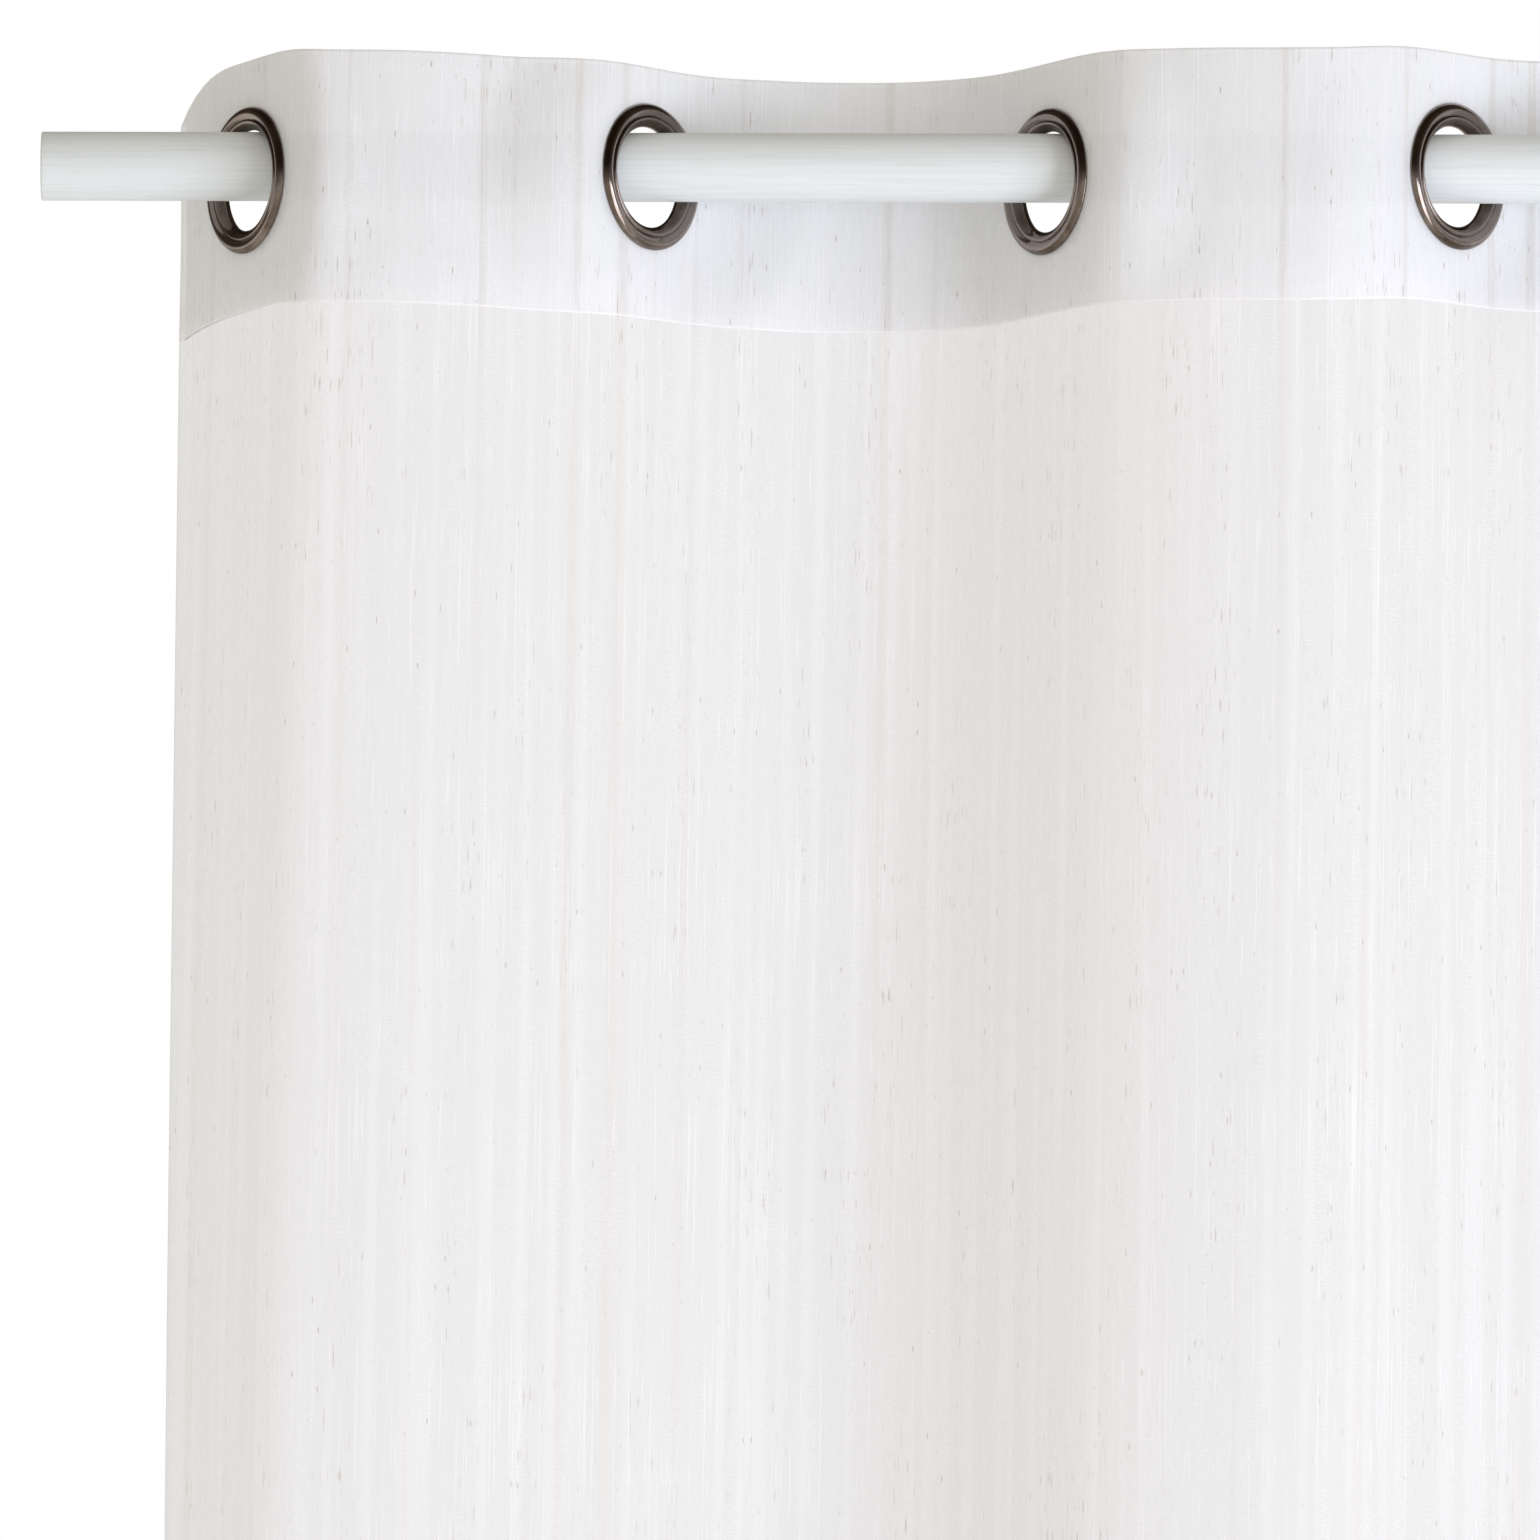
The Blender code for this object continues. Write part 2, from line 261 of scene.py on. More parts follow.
@dataclass(frozen=True)
class VoileFinish:
    """Slub voile: a sheer plain weave of fine white polyester with uneven slub and flax yarns.

    The open ground lets the light behind through. The slubs are thick soft stretches of yarn that
    read as long white streaks, and the flax shows as short brown-grey dashes.
    """

    name: str
    ground: str = "#D3D3D7"
    slub: str = "#F8F8FF"
    flax: str = "#978675"
    warm: str = "#CFC8BD"
    # The doubled cloth is the same voile, painted whiter: painted light, standing in for the light
    # that the two layers scatter back to each other.
    doubled_ground_painted_light: str = "#F1F4F9"
    # painted light: the whiter colour of the turned-under strip and of the painted highlight at the
    # doubled cloth's lower edge
    edge_ground_painted_light: str = "#F7F8FF"
    cover: float = 0.52             # share of the light that a single cloth stops
    doubled_cover: float = 0.82
    edge_cover: float = 0.88
    doubled_to: float = 0.0         # the drop down to which the cloth is doubled
    turned_from: float = 0.0        # the drop from which the doubled cloth is drawn denser and painted whiter, for its turned-under strip
    through: float = 0.23           # share of the stopped light that glows through
    edge_fade: float = 6 * MM       # how softly the turned-under strip begins
    rim: float = 0.9 * MM           # width of the painted highlight along the doubled cloth's lower edge

    def threads(self, tree: NodeTree, lay: NodeSocket, mark: YarnMark) -> NodeSocket:
        """Adds a field of long or short yarn marks.

        Args:
            tree: The material's tree.
            lay: The cloth place: course, drop and layer.
            mark: The marks' size and how often they come.

        Returns:
            0 for no mark to 1 for a full mark.
        """
        scaled = add_node(tree, "ShaderNodeVectorMath", {"operation": "MULTIPLY_ADD"}, {
            0: lay,
            1: (1 / (mark.width * MM), 1 / (mark.length * MM), 0.0),
            2: (mark.seed, mark.seed * 0.37, 0.0),
        })
        noise = add_node(tree, "ShaderNodeTexNoise", {"noise_dimensions": "2D"}, {
            "Vector": scaled, "Scale": 1.0, "Detail": 0.0,
        })
        shown = add_node(tree, "ShaderNodeMapRange", {"interpolation_type": "SMOOTHSTEP"}, {
            "Value": noise, "From Min": mark.low, "From Max": mark.high,
        })
        return shown.outputs[0]

    def wavy_lay(self, tree: NodeTree) -> tuple[NodeSocket, NodeSocket]:
        """Adds the cloth place with its yarns wandering a little sideways.

        Args:
            tree: The material's tree.

        Returns:
            The wandering place, and the true drop.
        """
        lay = add_node(tree, "ShaderNodeAttribute", {"attribute_name": "lay"}).outputs["Vector"]
        slow = add_node(tree, "ShaderNodeVectorMath", {"operation": "MULTIPLY"}, {
            0: lay, 1: (1 / (22 * MM), 1 / (70 * MM), 1.0),
        })
        wander = add_node(tree, "ShaderNodeTexNoise", {"noise_dimensions": "2D"}, {
            "Vector": slow, "Scale": 1.0, "Detail": 1.0,
        })
        centred = add_node(tree, "ShaderNodeVectorMath", {"operation": "SUBTRACT"}, {
            0: wander.outputs[1], 1: (0.5, 0.5, 0.5),
        })
        moved = add_node(tree, "ShaderNodeVectorMath", {"operation": "MULTIPLY_ADD"}, {
            0: centred, 1: (0.8 * MM, 2 * MM, 0.0), 2: lay,
        })
        drop = add_node(tree, "ShaderNodeSeparateXYZ", feeds={0: lay}).outputs[1]
        return moved.outputs[0], drop

    def build(self) -> Material:
        """Makes the cloth's material.

        Returns:
            The material.
        """
        made, tree = new_material(self.name)
        lay, drop = self.wavy_lay(tree)
        skin = add_node(tree, "ShaderNodeAttribute", {"attribute_name": "skin"}).outputs["Fac"]
        rising = add_node(tree, "ShaderNodeMapRange", feeds={
            "Value": drop,
            "From Min": self.turned_from - self.edge_fade,
            "From Max": self.doubled_to - self.edge_fade / 2,
        })
        known = {name: self.threads(tree, lay, mark) for name, mark in YARN_MARKS.items()}
        known.update(drop=drop, skin=skin, rising=rising.outputs[0])

        # Each row names a value, its operation and its terms. The thicker the yarns at a place,
        # the more of the light they stop.
        for name, operation, *terms in (
            ("doubled", "LESS_THAN", "drop", self.doubled_to),
            ("edge", "MULTIPLY", "doubled", "rising"),
            # The rim is a painted highlight: a thin, whiter and denser line along the doubled
            # cloth's lower edge, where the folded edge catches the light.
            ("above edge", "SUBTRACT", self.doubled_to, "drop"),
            ("at edge", "LESS_THAN", "above edge", self.rim),
            ("rim", "MULTIPLY", "doubled", "at edge"),
            ("white", "MAXIMUM", "slubs", "streaks"),
            ("patches", "MULTIPLY_ADD", "patch", 0.95, 0.05),
            ("woven", "MULTIPLY", "picks", "patches"),
            ("gathered", "MULTIPLY", "dashes", "sparse"),
            ("flax", "MAXIMUM", "gathered", "fibres"),
            ("cover", "MULTIPLY_ADD", "doubled", self.doubled_cover - self.cover, self.cover),
            ("cover", "MULTIPLY_ADD", "edge", self.edge_cover - self.doubled_cover, "cover"),
            ("cover", "MULTIPLY_ADD", "yarns", 0.03, "cover"),
            ("cover", "MULTIPLY_ADD", "broad", 0.03, "cover"),
            ("cover", "MULTIPLY_ADD", "woven", 0.03, "cover"),
            ("cover", "MULTIPLY_ADD", "white", 0.07, "cover"),
            # denser at the painted highlight
            ("cover", "MULTIPLY_ADD", "rim", 0.12, "cover"),
            ("cover", "SUBTRACT", "cover", 0.03),
            ("cover", "MULTIPLY_ADD", "flax", 0.16, "cover"),
            ("cover", "MAXIMUM", "cover", 0.05),
            ("cover", "MINIMUM", "cover", 0.97),
            ("stopped", "MULTIPLY", "cover", "skin"),
            # The turned-under strip is drawn denser. Its whiter colour is painted light, standing
            # in for the light scattered between its layers.
            ("edge painted light", "MULTIPLY", "edge", 0.5),
            ("pale tint", "MULTIPLY", "pale", 0.22),
            ("warm tint", "MULTIPLY", "broad", 0.28),
            ("pick tint", "MULTIPLY", "woven", 0.4),
            ("slub tint", "MAXIMUM", "white", "pick tint"),
            ("slub tint", "MULTIPLY", "slub tint", 0.45),
            ("flax tint", "MULTIPLY", "flax", 0.55),
            ("painted rim highlight", "MULTIPLY", "rim", 0.6),
            ("relief", "MULTIPLY_ADD", "yarns", 0.5, "slubs"),
        ):
            feeds = {at: known.get(term, term) for at, term in enumerate(terms)}
            known[name] = add_node(tree, "ShaderNodeMath", {"operation": operation},
                                   feeds).outputs[0]

        colour = linear(self.ground)
        for share, shade in (
            # where the cloth is doubled, painted light whitens it
            ("doubled", self.doubled_ground_painted_light),
            # painted light whitens the turned-under strip
            ("edge painted light", self.edge_ground_painted_light),
            ("pale tint", self.slub),
            ("warm tint", self.warm),
            ("slub tint", self.slub),
            ("flax tint", self.flax),
            # painted highlight along the doubled cloth's lower edge
            ("painted rim highlight", self.edge_ground_painted_light),
        ):
            colour = add_node(tree, "ShaderNodeMix", {"data_type": "RGBA"}, {
                0: known[share], 6: colour, 7: linear(shade),
            }).outputs[2]

        bump = add_node(tree, "ShaderNodeBump", feeds={
            "Strength": 0.12, "Distance": 0.3 * MM, "Height": known["relief"],
        })
        front = add_node(tree, "ShaderNodeBsdfPrincipled", feeds={
            "Base Color": colour, "Roughness": 0.85, "Sheen Weight": 0.12, "Sheen Roughness": 0.5,
            "Specular IOR Level": 0.2, "Normal": bump,
        })
        glow = add_node(tree, "ShaderNodeBsdfTranslucent", feeds={"Color": colour})
        cloth = add_node(tree, "ShaderNodeMixShader", feeds={
            0: self.through, 1: front, 2: glow,
        })
        open_weave = add_node(tree, "ShaderNodeBsdfTransparent")
        seen = add_node(tree, "ShaderNodeMixShader", feeds={
            0: known["stopped"], 1: open_weave, 2: cloth,
        })
        add_node(tree, "ShaderNodeOutputMaterial", feeds={"Surface": seen})
        return made


@dataclass(frozen=True)
class NickelFinish:
    """Black nickel plate on stamped steel, polished: dark, brown in its tint, with soft mirrors."""

    name: str
    plate: str = "#857A73"
    deep: str = "#5B4F45"
    worn: str = "#A79C96"
    smoothest: float = 0.06
    roughest: float = 0.17

    def build(self) -> Material:
        """Makes the plate's material.

        Returns:
            The material.
        """
        made, tree = new_material(self.name)
        place = add_node(tree, "ShaderNodeTexCoord").outputs["Object"]
        cloud = add_node(tree, "ShaderNodeTexNoise", feeds={
            "Vector": place, "Scale": 1 / (14 * MM), "Detail": 3.0,
        })
        polish = add_node(tree, "ShaderNodeTexNoise", feeds={
            "Vector": place, "Scale": 1 / (0.9 * MM), "Detail": 2.0,
        })
        wear = add_node(tree, "ShaderNodeAttribute", {"attribute_name": "wear"}).outputs["Fac"]
        tone = add_node(tree, "ShaderNodeMapRange", feeds={
            "Value": cloud, "From Min": 0.35, "From Max": 0.65,
        })
        tinted = add_node(tree, "ShaderNodeMix", {"data_type": "RGBA"}, {
            0: tone, 6: linear(self.deep), 7: linear(self.plate),
        })
        edges = add_node(tree, "ShaderNodeMix", {"data_type": "RGBA"}, {
            0: wear, 6: tinted.outputs[2], 7: linear(self.worn),
        })
        gloss = add_node(tree, "ShaderNodeMapRange", feeds={
            "Value": polish, "From Min": 0.3, "From Max": 0.7,
            "To Min": self.smoothest, "To Max": self.roughest,
        })
        bump = add_node(tree, "ShaderNodeBump", feeds={
            "Strength": 0.06, "Distance": 0.05 * MM, "Height": polish,
        })
        metal = add_node(tree, "ShaderNodeBsdfPrincipled", feeds={
            "Base Color": edges.outputs[2], "Metallic": 1.0, "Roughness": gloss,
            "Normal": bump,
        })
        add_node(tree, "ShaderNodeOutputMaterial", feeds={"Surface": metal})
        return made


@dataclass(frozen=True)
class WhitewashFinish:
    """Softwood rod brushed with thin white wash: cool white, the grain showing as grey streaks."""

    name: str
    wash: str = "#DAE0E4"
    streak: str = "#D5DBDF"
    bare: str = "#A39C8E"

    def build(self) -> Material:
        """Makes the painted wood's material.

        Returns:
            The material.
        """
        made, tree = new_material(self.name)
        place = add_node(tree, "ShaderNodeTexCoord").outputs["Object"]

        def grain(width: float, length: float, low: float, high: float) -> NodeSocket:
            """Adds streaks of a width and length along the rod, in metres."""
            drawn = add_node(tree, "ShaderNodeVectorMath", {"operation": "MULTIPLY"}, {
                0: place, 1: (1 / length, 1 / width, 1 / width),
            })
            noise = add_node(tree, "ShaderNodeTexNoise", feeds={
                "Vector": drawn, "Scale": 1.0, "Detail": 2.0, "Distortion": 0.3,
            })
            mark = add_node(tree, "ShaderNodeMapRange", {"interpolation_type": "SMOOTHSTEP"}, {
                "Value": noise, "From Min": low, "From Max": high,
            })
            return mark.outputs[0]

        brush = grain(1.1 * MM, 70 * MM, 0.42, 0.66)
        pores = grain(0.8 * MM, 32 * MM, 0.62, 0.74)
        washed = add_node(tree, "ShaderNodeMix", {"data_type": "RGBA"}, {
            0: brush, 6: linear(self.wash), 7: linear(self.streak),
        })
        dimmed = add_node(tree, "ShaderNodeMath", {"operation": "MULTIPLY"}, {0: pores, 1: 0.16})
        colour = add_node(tree, "ShaderNodeMix", {"data_type": "RGBA"}, {
            0: dimmed, 6: washed.outputs[2], 7: linear(self.bare),
        })
        gloss = add_node(tree, "ShaderNodeMapRange", feeds={
            "Value": brush, "To Min": 0.42, "To Max": 0.62,
        })
        bump = add_node(tree, "ShaderNodeBump", feeds={
            "Strength": 0.14, "Distance": 0.12 * MM, "Height": brush,
        })
        paint = add_node(tree, "ShaderNodeBsdfPrincipled", feeds={
            "Base Color": colour.outputs[2], "Roughness": gloss,
            "Normal": bump,
        })
        add_node(tree, "ShaderNodeOutputMaterial", feeds={"Surface": paint})
        return made


@dataclass(frozen=True)
class ThreadFinish:
    """Spun polyester sewing thread: soft white with the twist showing as fine shading."""

    name: str
    light: str = "#FBFAFA"
    dark: str = "#DCD9D6"

    def build(self) -> Material:
        """Makes the thread's material.

        Returns:
            The material.
        """
        made, tree = new_material(self.name)
        place = add_node(tree, "ShaderNodeTexCoord").outputs["Object"]
        twist = add_node(tree, "ShaderNodeTexNoise", feeds={
            "Vector": place, "Scale": 1 / (0.6 * MM), "Detail": 1.0,
        })
        colour = add_node(tree, "ShaderNodeMix", {"data_type": "RGBA"}, {
            0: twist, 6: linear(self.light), 7: linear(self.dark),
        })
        yarn = add_node(tree, "ShaderNodeBsdfPrincipled", feeds={
            "Base Color": colour.outputs[2], "Roughness": 0.7, "Sheen Weight": 0.2,
        })
        add_node(tree, "ShaderNodeOutputMaterial", feeds={"Surface": yarn})
        return made


@dataclass(frozen=True)
class FloorFinish:
    """Matt pale studio floor, evenly lit."""

    name: str
    pale: str = "#F2F1EF"
    shade: str = "#EBEAE8"
    lit: float = 0.32

    def build(self) -> Material:
        """Makes the floor's material.

        Returns:
            The material.
        """
        made, tree = new_material(self.name)
        place = add_node(tree, "ShaderNodeTexCoord").outputs["Object"]
        mottle = add_node(tree, "ShaderNodeTexNoise", feeds={"Vector": place, "Scale": 1.5})
        colour = add_node(tree, "ShaderNodeMix", {"data_type": "RGBA"}, {
            0: mottle, 6: linear(self.pale), 7: linear(self.shade),
        })
        matt = add_node(tree, "ShaderNodeBsdfPrincipled", feeds={
            "Base Color": colour.outputs[2], "Roughness": 0.9,
            "Emission Color": linear(self.pale), "Emission Strength": self.lit,
        })
        add_node(tree, "ShaderNodeOutputMaterial", feeds={"Surface": matt})
        return made


class Eyelet(NamedTuple):
    """Where the cloth passes the rod, and how far its top edge rides up there.

    Angles are in degrees from the rod, plus to the back.
    """

    x: float
    turn: float
    run: float
    depth: float
    lift: float


class Crest(NamedTuple):
    """The front or back of one fold, or a side edge, with its depth at the foot and its lift."""

    x: float
    depth: float
    round: float
    foot_depth: float
    lift: float


class PlanNode(NamedTuple):
    """A point of the cloth's plan curve at one drop, with its heading and its handles' share."""

    x: float
    y: float
    heading: float
    reach: float


@dataclass(frozen=True)
class RingOutline:
    """Half sections of the two rings of an eyelet, as (radius, height) from the panel's back."""

    hole: float = 20.5 * MM
    flange: float = 30.0 * MM
    crest: float = 4.1 * MM
    barrel: float = 22.2 * MM
    barrel_end: float = -2.8 * MM
    seat: float = 1.3 * MM
    washer: float = 29.5 * MM
    washer_seat: float = -1.6 * MM
    gap: float = 0.3 * MM

    def mouth(self) -> list[tuple[float, float]]:
        """The hole's wall, from the barrel's end to the rolled front lip."""
        return [
            (21.8 * MM, self.barrel_end),
            (self.hole, -0.8 * MM),
            (self.hole, 0.8 * MM),
            (22.1 * MM, 2.7 * MM),
            (24.2 * MM, 3.7 * MM),
        ]


def smooth(share: np.ndarray | float) -> np.ndarray:
    """0 below 0, 1 above 1, and an even S between."""
    share = np.clip(share, 0.0, 1.0)
    return share * share * (3 - 2 * share)


@dataclass
class HangingCloth:
    """The rule by which the cloth hangs: eyelets on the rod, round folds between them."""

    drop: float = 2.5000
    heading: float = 0.1015
    ring_drop: float = 0.0455
    rod_radius: float = 0.0140
    lean: float = -0.0250           # sideways drift of the folds at the foot
    lean_drop: float = 0.5000       # drop over which most of the drift comes
    edge_drift: float = 0.12        # share of the drift that the side edges take
    outer_drift: float = 0.55       # and the outermost crossings
    relaxed_run: float = math.radians(40.0)
    relaxed_share: float = 0.5
    corner_course: float = 0.0400
    corner_sag: float = 0.0185
    corner_drop: float = 0.1400
    seat_flat: float = 0.0325       # how far round an eyelet the cloth lies in its plane
    seat_fade: float = 0.0780       # and how far it is drawn towards it
    eyelet_reach: float = 0.42
    thread_lean: float = -0.0120    # sideways run of the warp threads per drop
    samples: int = 96
    ring_steps: int = 20            # sides of the solid ring that hangs on the rod
    ring: RingOutline = field(default_factory=RingOutline)
    eyelets: tuple[Eyelet, ...] = (
        Eyelet(0.0016, -58.0, -64.0, 0.000, 0.0025),
        Eyelet(0.1627, 51.0, 27.0, 0.000, -0.0012),
        Eyelet(0.3257, -57.0, -54.0, 0.000, 0.0020),
        Eyelet(0.4897, 50.0, 28.0, -0.008, 0.0045),
        Eyelet(0.6540, -57.0, -60.0, 0.000, 0.0022),
        Eyelet(0.8190, 52.0, 31.0, 0.002, -0.0010),
        Eyelet(0.9815, -57.0, -50.0, -0.002, 0.0018),
        Eyelet(1.1470, 53.0, 58.0, 0.000, 0.0020),
    )
    crests: tuple[Crest, ...] = (
        Crest(-0.0270, 0.044, 0.30, 0.050, 0.0000),
        Crest(0.0360, -0.041, 0.42, -0.037, -0.0008),
        Crest(0.2520, 0.041, 0.45, 0.044, 0.0004),
        Crest(0.4200, -0.043, 0.45, -0.039, 0.0004),
        Crest(0.5850, 0.040, 0.46, 0.037, 0.0092),
        Crest(0.7100, -0.041, 0.42, -0.043, -0.0006),
        Crest(0.9060, 0.042, 0.44, 0.039, 0.0014),
        Crest(1.0580, -0.041, 0.46, -0.037, 0.0002),
        Crest(1.1780, 0.043, 0.30, 0.047, 0.0000),
    )

    def __post_init__(self) -> None:
        """Measures the cloth along the heading, where its length is set."""
        self.first_x = -self.eyelets[-1].x / 2
        lengths = [fold[-1][-1] for fold in self.half_folds(0.0)]
        self.lengths = np.array(lengths)
        self.node_courses = np.concatenate(((0.0,), np.cumsum(lengths)))
        self.eyelet_courses = self.node_courses[1::2]
        self.width = float(self.node_courses[-1])
        self.turns = np.radians([eyelet.turn for eyelet in self.eyelets])
        self.lifts = np.zeros(len(self.node_courses))
        self.lifts[0::2] = [crest.lift for crest in self.crests]
        self.lifts[1::2] = [eyelet.lift for eyelet in self.eyelets]
        self.centres = np.array([
            (self.first_x + eyelet.x, 0.0, self.hang(math.radians(eyelet.turn)))
            for eyelet in self.eyelets
        ])
        self.top = float(self.centres[:, 2].mean()) + self.ring_drop
        self.plumb = self.plumb_line()

    def plan_nodes(self, drop: float) -> list[PlanNode]:
        """The side edges, crests and crossings in order along the rod, at one drop.

        Args:
            drop: How far below the top edge.

        Returns:
            The nodes from left to right.
        """
        below = max(drop - self.heading, 0.0)
        fall = float(smooth(below / (self.drop - self.heading)))
        lean = self.lean * (1 - math.exp(-below / self.lean_drop))
        last = len(self.eyelets) - 1
        nodes = []
        for index, crest in enumerate(self.crests):
            at_edge = index in (0, len(self.crests) - 1)
            near = self.eyelets[0 if index == 0 else -1]
            heading = math.radians(near.run) if at_edge else 0.0
            x = crest.x + lean * (self.edge_drift if at_edge else 1.0)
            y = crest.depth + (crest.foot_depth - crest.depth) * fall
            nodes.append(PlanNode(x, y, heading, crest.round))
            if index <= last:
                eyelet = self.eyelets[index]
                run = math.radians(eyelet.run)
                run += (math.copysign(self.relaxed_run, run) - run) * self.relaxed_share * fall
                x = eyelet.x + lean * (self.outer_drift if index in (0, last) else 1.0)
                nodes.append(PlanNode(x, eyelet.depth, run, self.eyelet_reach))
        return nodes

    def half_fold(self, start: PlanNode, end: PlanNode) -> tuple[np.ndarray, ...]:
        """The curve from one plan node to the next.

        Args:
            start: The node on the left.
            end: The node on the right.

        Returns:
            Close points' x and y, their headings, and the length up to each.
        """
        chord = math.hypot(end.x - start.x, end.y - start.y)
        out, back = start.reach * chord, end.reach * chord
        corners = np.array((
            (start.x, start.y),
            (start.x + out * math.cos(start.heading), start.y + out * math.sin(start.heading)),
            (end.x - back * math.cos(end.heading), end.y - back * math.sin(end.heading)),
            (end.x, end.y),
        ))
        t = np.linspace(0.0, 1.0, self.samples)[:, None]
        weights = np.hstack(((1 - t) ** 3, 3 * t * (1 - t) ** 2, 3 * t * t * (1 - t), t ** 3))
        points = weights @ corners
        speeds = np.gradient(points, axis=0)
        steps = np.hypot(*np.diff(points, axis=0).T)
        lengths = np.concatenate(((0.0,), np.cumsum(steps)))
        return points[:, 0], points[:, 1], np.arctan2(speeds[:, 1], speeds[:, 0]), lengths

    def half_folds(self, drop: float) -> list[tuple[np.ndarray, ...]]:
        """All the plan curves at one drop, from left to right."""
        nodes = self.plan_nodes(drop)
        return [self.half_fold(start, end) for start, end in zip(nodes, nodes[1:])]

    def hang(self, turn: float) -> float:
        """How high a ring's centre rests when its mouth just clears the rod.

        Args:
            turn: The ring's turn from the rod, in radians.

        Returns:
            The centre's height from the rod's axis.
        """
        clear = self.rod_radius + self.ring.gap
        around = np.linspace(0.0, math.pi, 181)
        lowest = -self.ring.hole
        for radius, height in self.ring.mouth():
            inner = radius * math.cos(math.pi / self.ring_steps)
            across = inner * np.cos(around) * math.sin(abs(turn)) - height * math.cos(turn)
            over = np.abs(across) < clear
            rise = np.sqrt(clear ** 2 - across[over] ** 2) - inner * np.sin(around[over])
            lowest = max(lowest, float(rise.max(initial=-self.ring.hole)))
        return lowest

    def from_eyelet(self, courses: np.ndarray, drop: np.ndarray | float) -> tuple[np.ndarray, ...]:
        """How places lie from their nearest eyelet.

        Args:
            courses: The places' courses.
            drop: Their drops.

        Returns:
            The eyelet's index, and how far along and up from its centre each place lies.
        """
        index = np.abs(self.eyelet_courses[:, None] - courses.ravel()).argmin(axis=0)
        index = index.reshape(courses.shape)
        up = self.ring_drop + self.lifts[1::2][index] - drop
        return index, courses - self.eyelet_courses[index], up

    def plumb_line(self) -> tuple[np.ndarray, np.ndarray]:
        """Where the warp threads cross the heading's lower edge.

        Returns:
            Their places along the rod, and their courses, both carried on past the side edges.
        """
        past = 0.1
        xs, courses = [], []
        for start, fold in zip(self.node_courses, self.half_folds(self.heading)):
            xs.append(self.first_x + fold[0][:-1])
            courses.append(start + fold[3][:-1])
        x, course = np.concatenate(xs), np.concatenate(courses)
        return (np.concatenate(((x[0] - past,), x, (x[-1] + past,))),
                np.concatenate(((course[0] - past,), course, (course[-1] + past,))))

    def warp(self, x: np.ndarray, drop: np.ndarray | float) -> np.ndarray:
        """The course of the warp thread at each place, the threads hanging almost plumb.

        Args:
            x: The places along the rod.
            drop: Their drops.

        Returns:
            The threads' courses at the heading's lower edge.
        """
        return np.interp(x - self.thread_lean * (drop - self.heading), *self.plumb)

    def row(self, drop: float, courses: np.ndarray, drops: np.ndarray) -> tuple[np.ndarray, ...]:
        """One row of the cloth's middle reference surface.

        Args:
            drop: The row's own drop.
            courses: The course of each place on the row.
            drops: The drop of each place, which differs from the row's only beside an eyelet.

        Returns:
            Points, forward normals, and how freely the cloth can ripple at each place.
        """
        folds = self.half_folds(drop)
        found = np.searchsorted(self.node_courses, courses, "right") - 1
        found = np.clip(found, 0, len(folds) - 1)
        plan = np.empty((len(courses), 3))
        lift = np.empty(len(courses))
        for index, (xs, ys, headings, lengths) in enumerate(folds):
            here = found == index
            share = (courses[here] - self.node_courses[index]) / self.lengths[index]
            start, end = self.lifts[index:index + 2]
            lift[here] = start + (end - start) * smooth(share)
            reached = share * lengths[-1]
            for axis, values in enumerate((xs, ys, headings)):
                plan[here, axis] = np.interp(reached, lengths, values)
        side = np.clip(1 - np.minimum(courses, self.width - courses) / self.corner_course, 0, 1)
        sag = self.corner_sag * side ** 2 * smooth(1 - drop / self.corner_drop)
        heights = self.top - drop - sag + lift
        points = np.stack((self.first_x + plan[:, 0], plan[:, 1], heights), axis=1)
        headings = plan[:, 2]
        zeros = np.zeros_like(headings)
        normals = np.stack((np.sin(headings), -np.cos(headings), zeros), axis=1)
        eyelet, along, up = self.from_eyelet(courses, drops)
        far = np.hypot(along, up)
        hold = smooth((self.seat_fade - far) / (self.seat_fade - self.seat_flat))[:, None]
        turn = self.turns[eyelet]
        flat = self.centres[eyelet] + np.stack(
            (along * np.cos(turn), along * np.sin(turn), up), axis=1
        )
        facing = np.stack((np.sin(turn), -np.cos(turn), zeros), axis=1)
        normals += (facing - normals) * hold
        normals /= np.linalg.norm(normals, axis=1)[:, None]
        return points + (flat - points) * hold, normals, 1 - hold[:, 0]


class Row(NamedTuple):
    """One row of a cloth sheet, which may lie on a turned-over edge.

    At a turn of 0 the sheet's outer face lies forward, and at pi it lies behind.
    """

    drop: float
    turn: float
    middle: float           # where the turned-over edge's centre lies, forward of the reference
    outer: float            # radius of the outer face about that centre
    rise: float             # +1 where the edge turns over upwards, -1 downwards


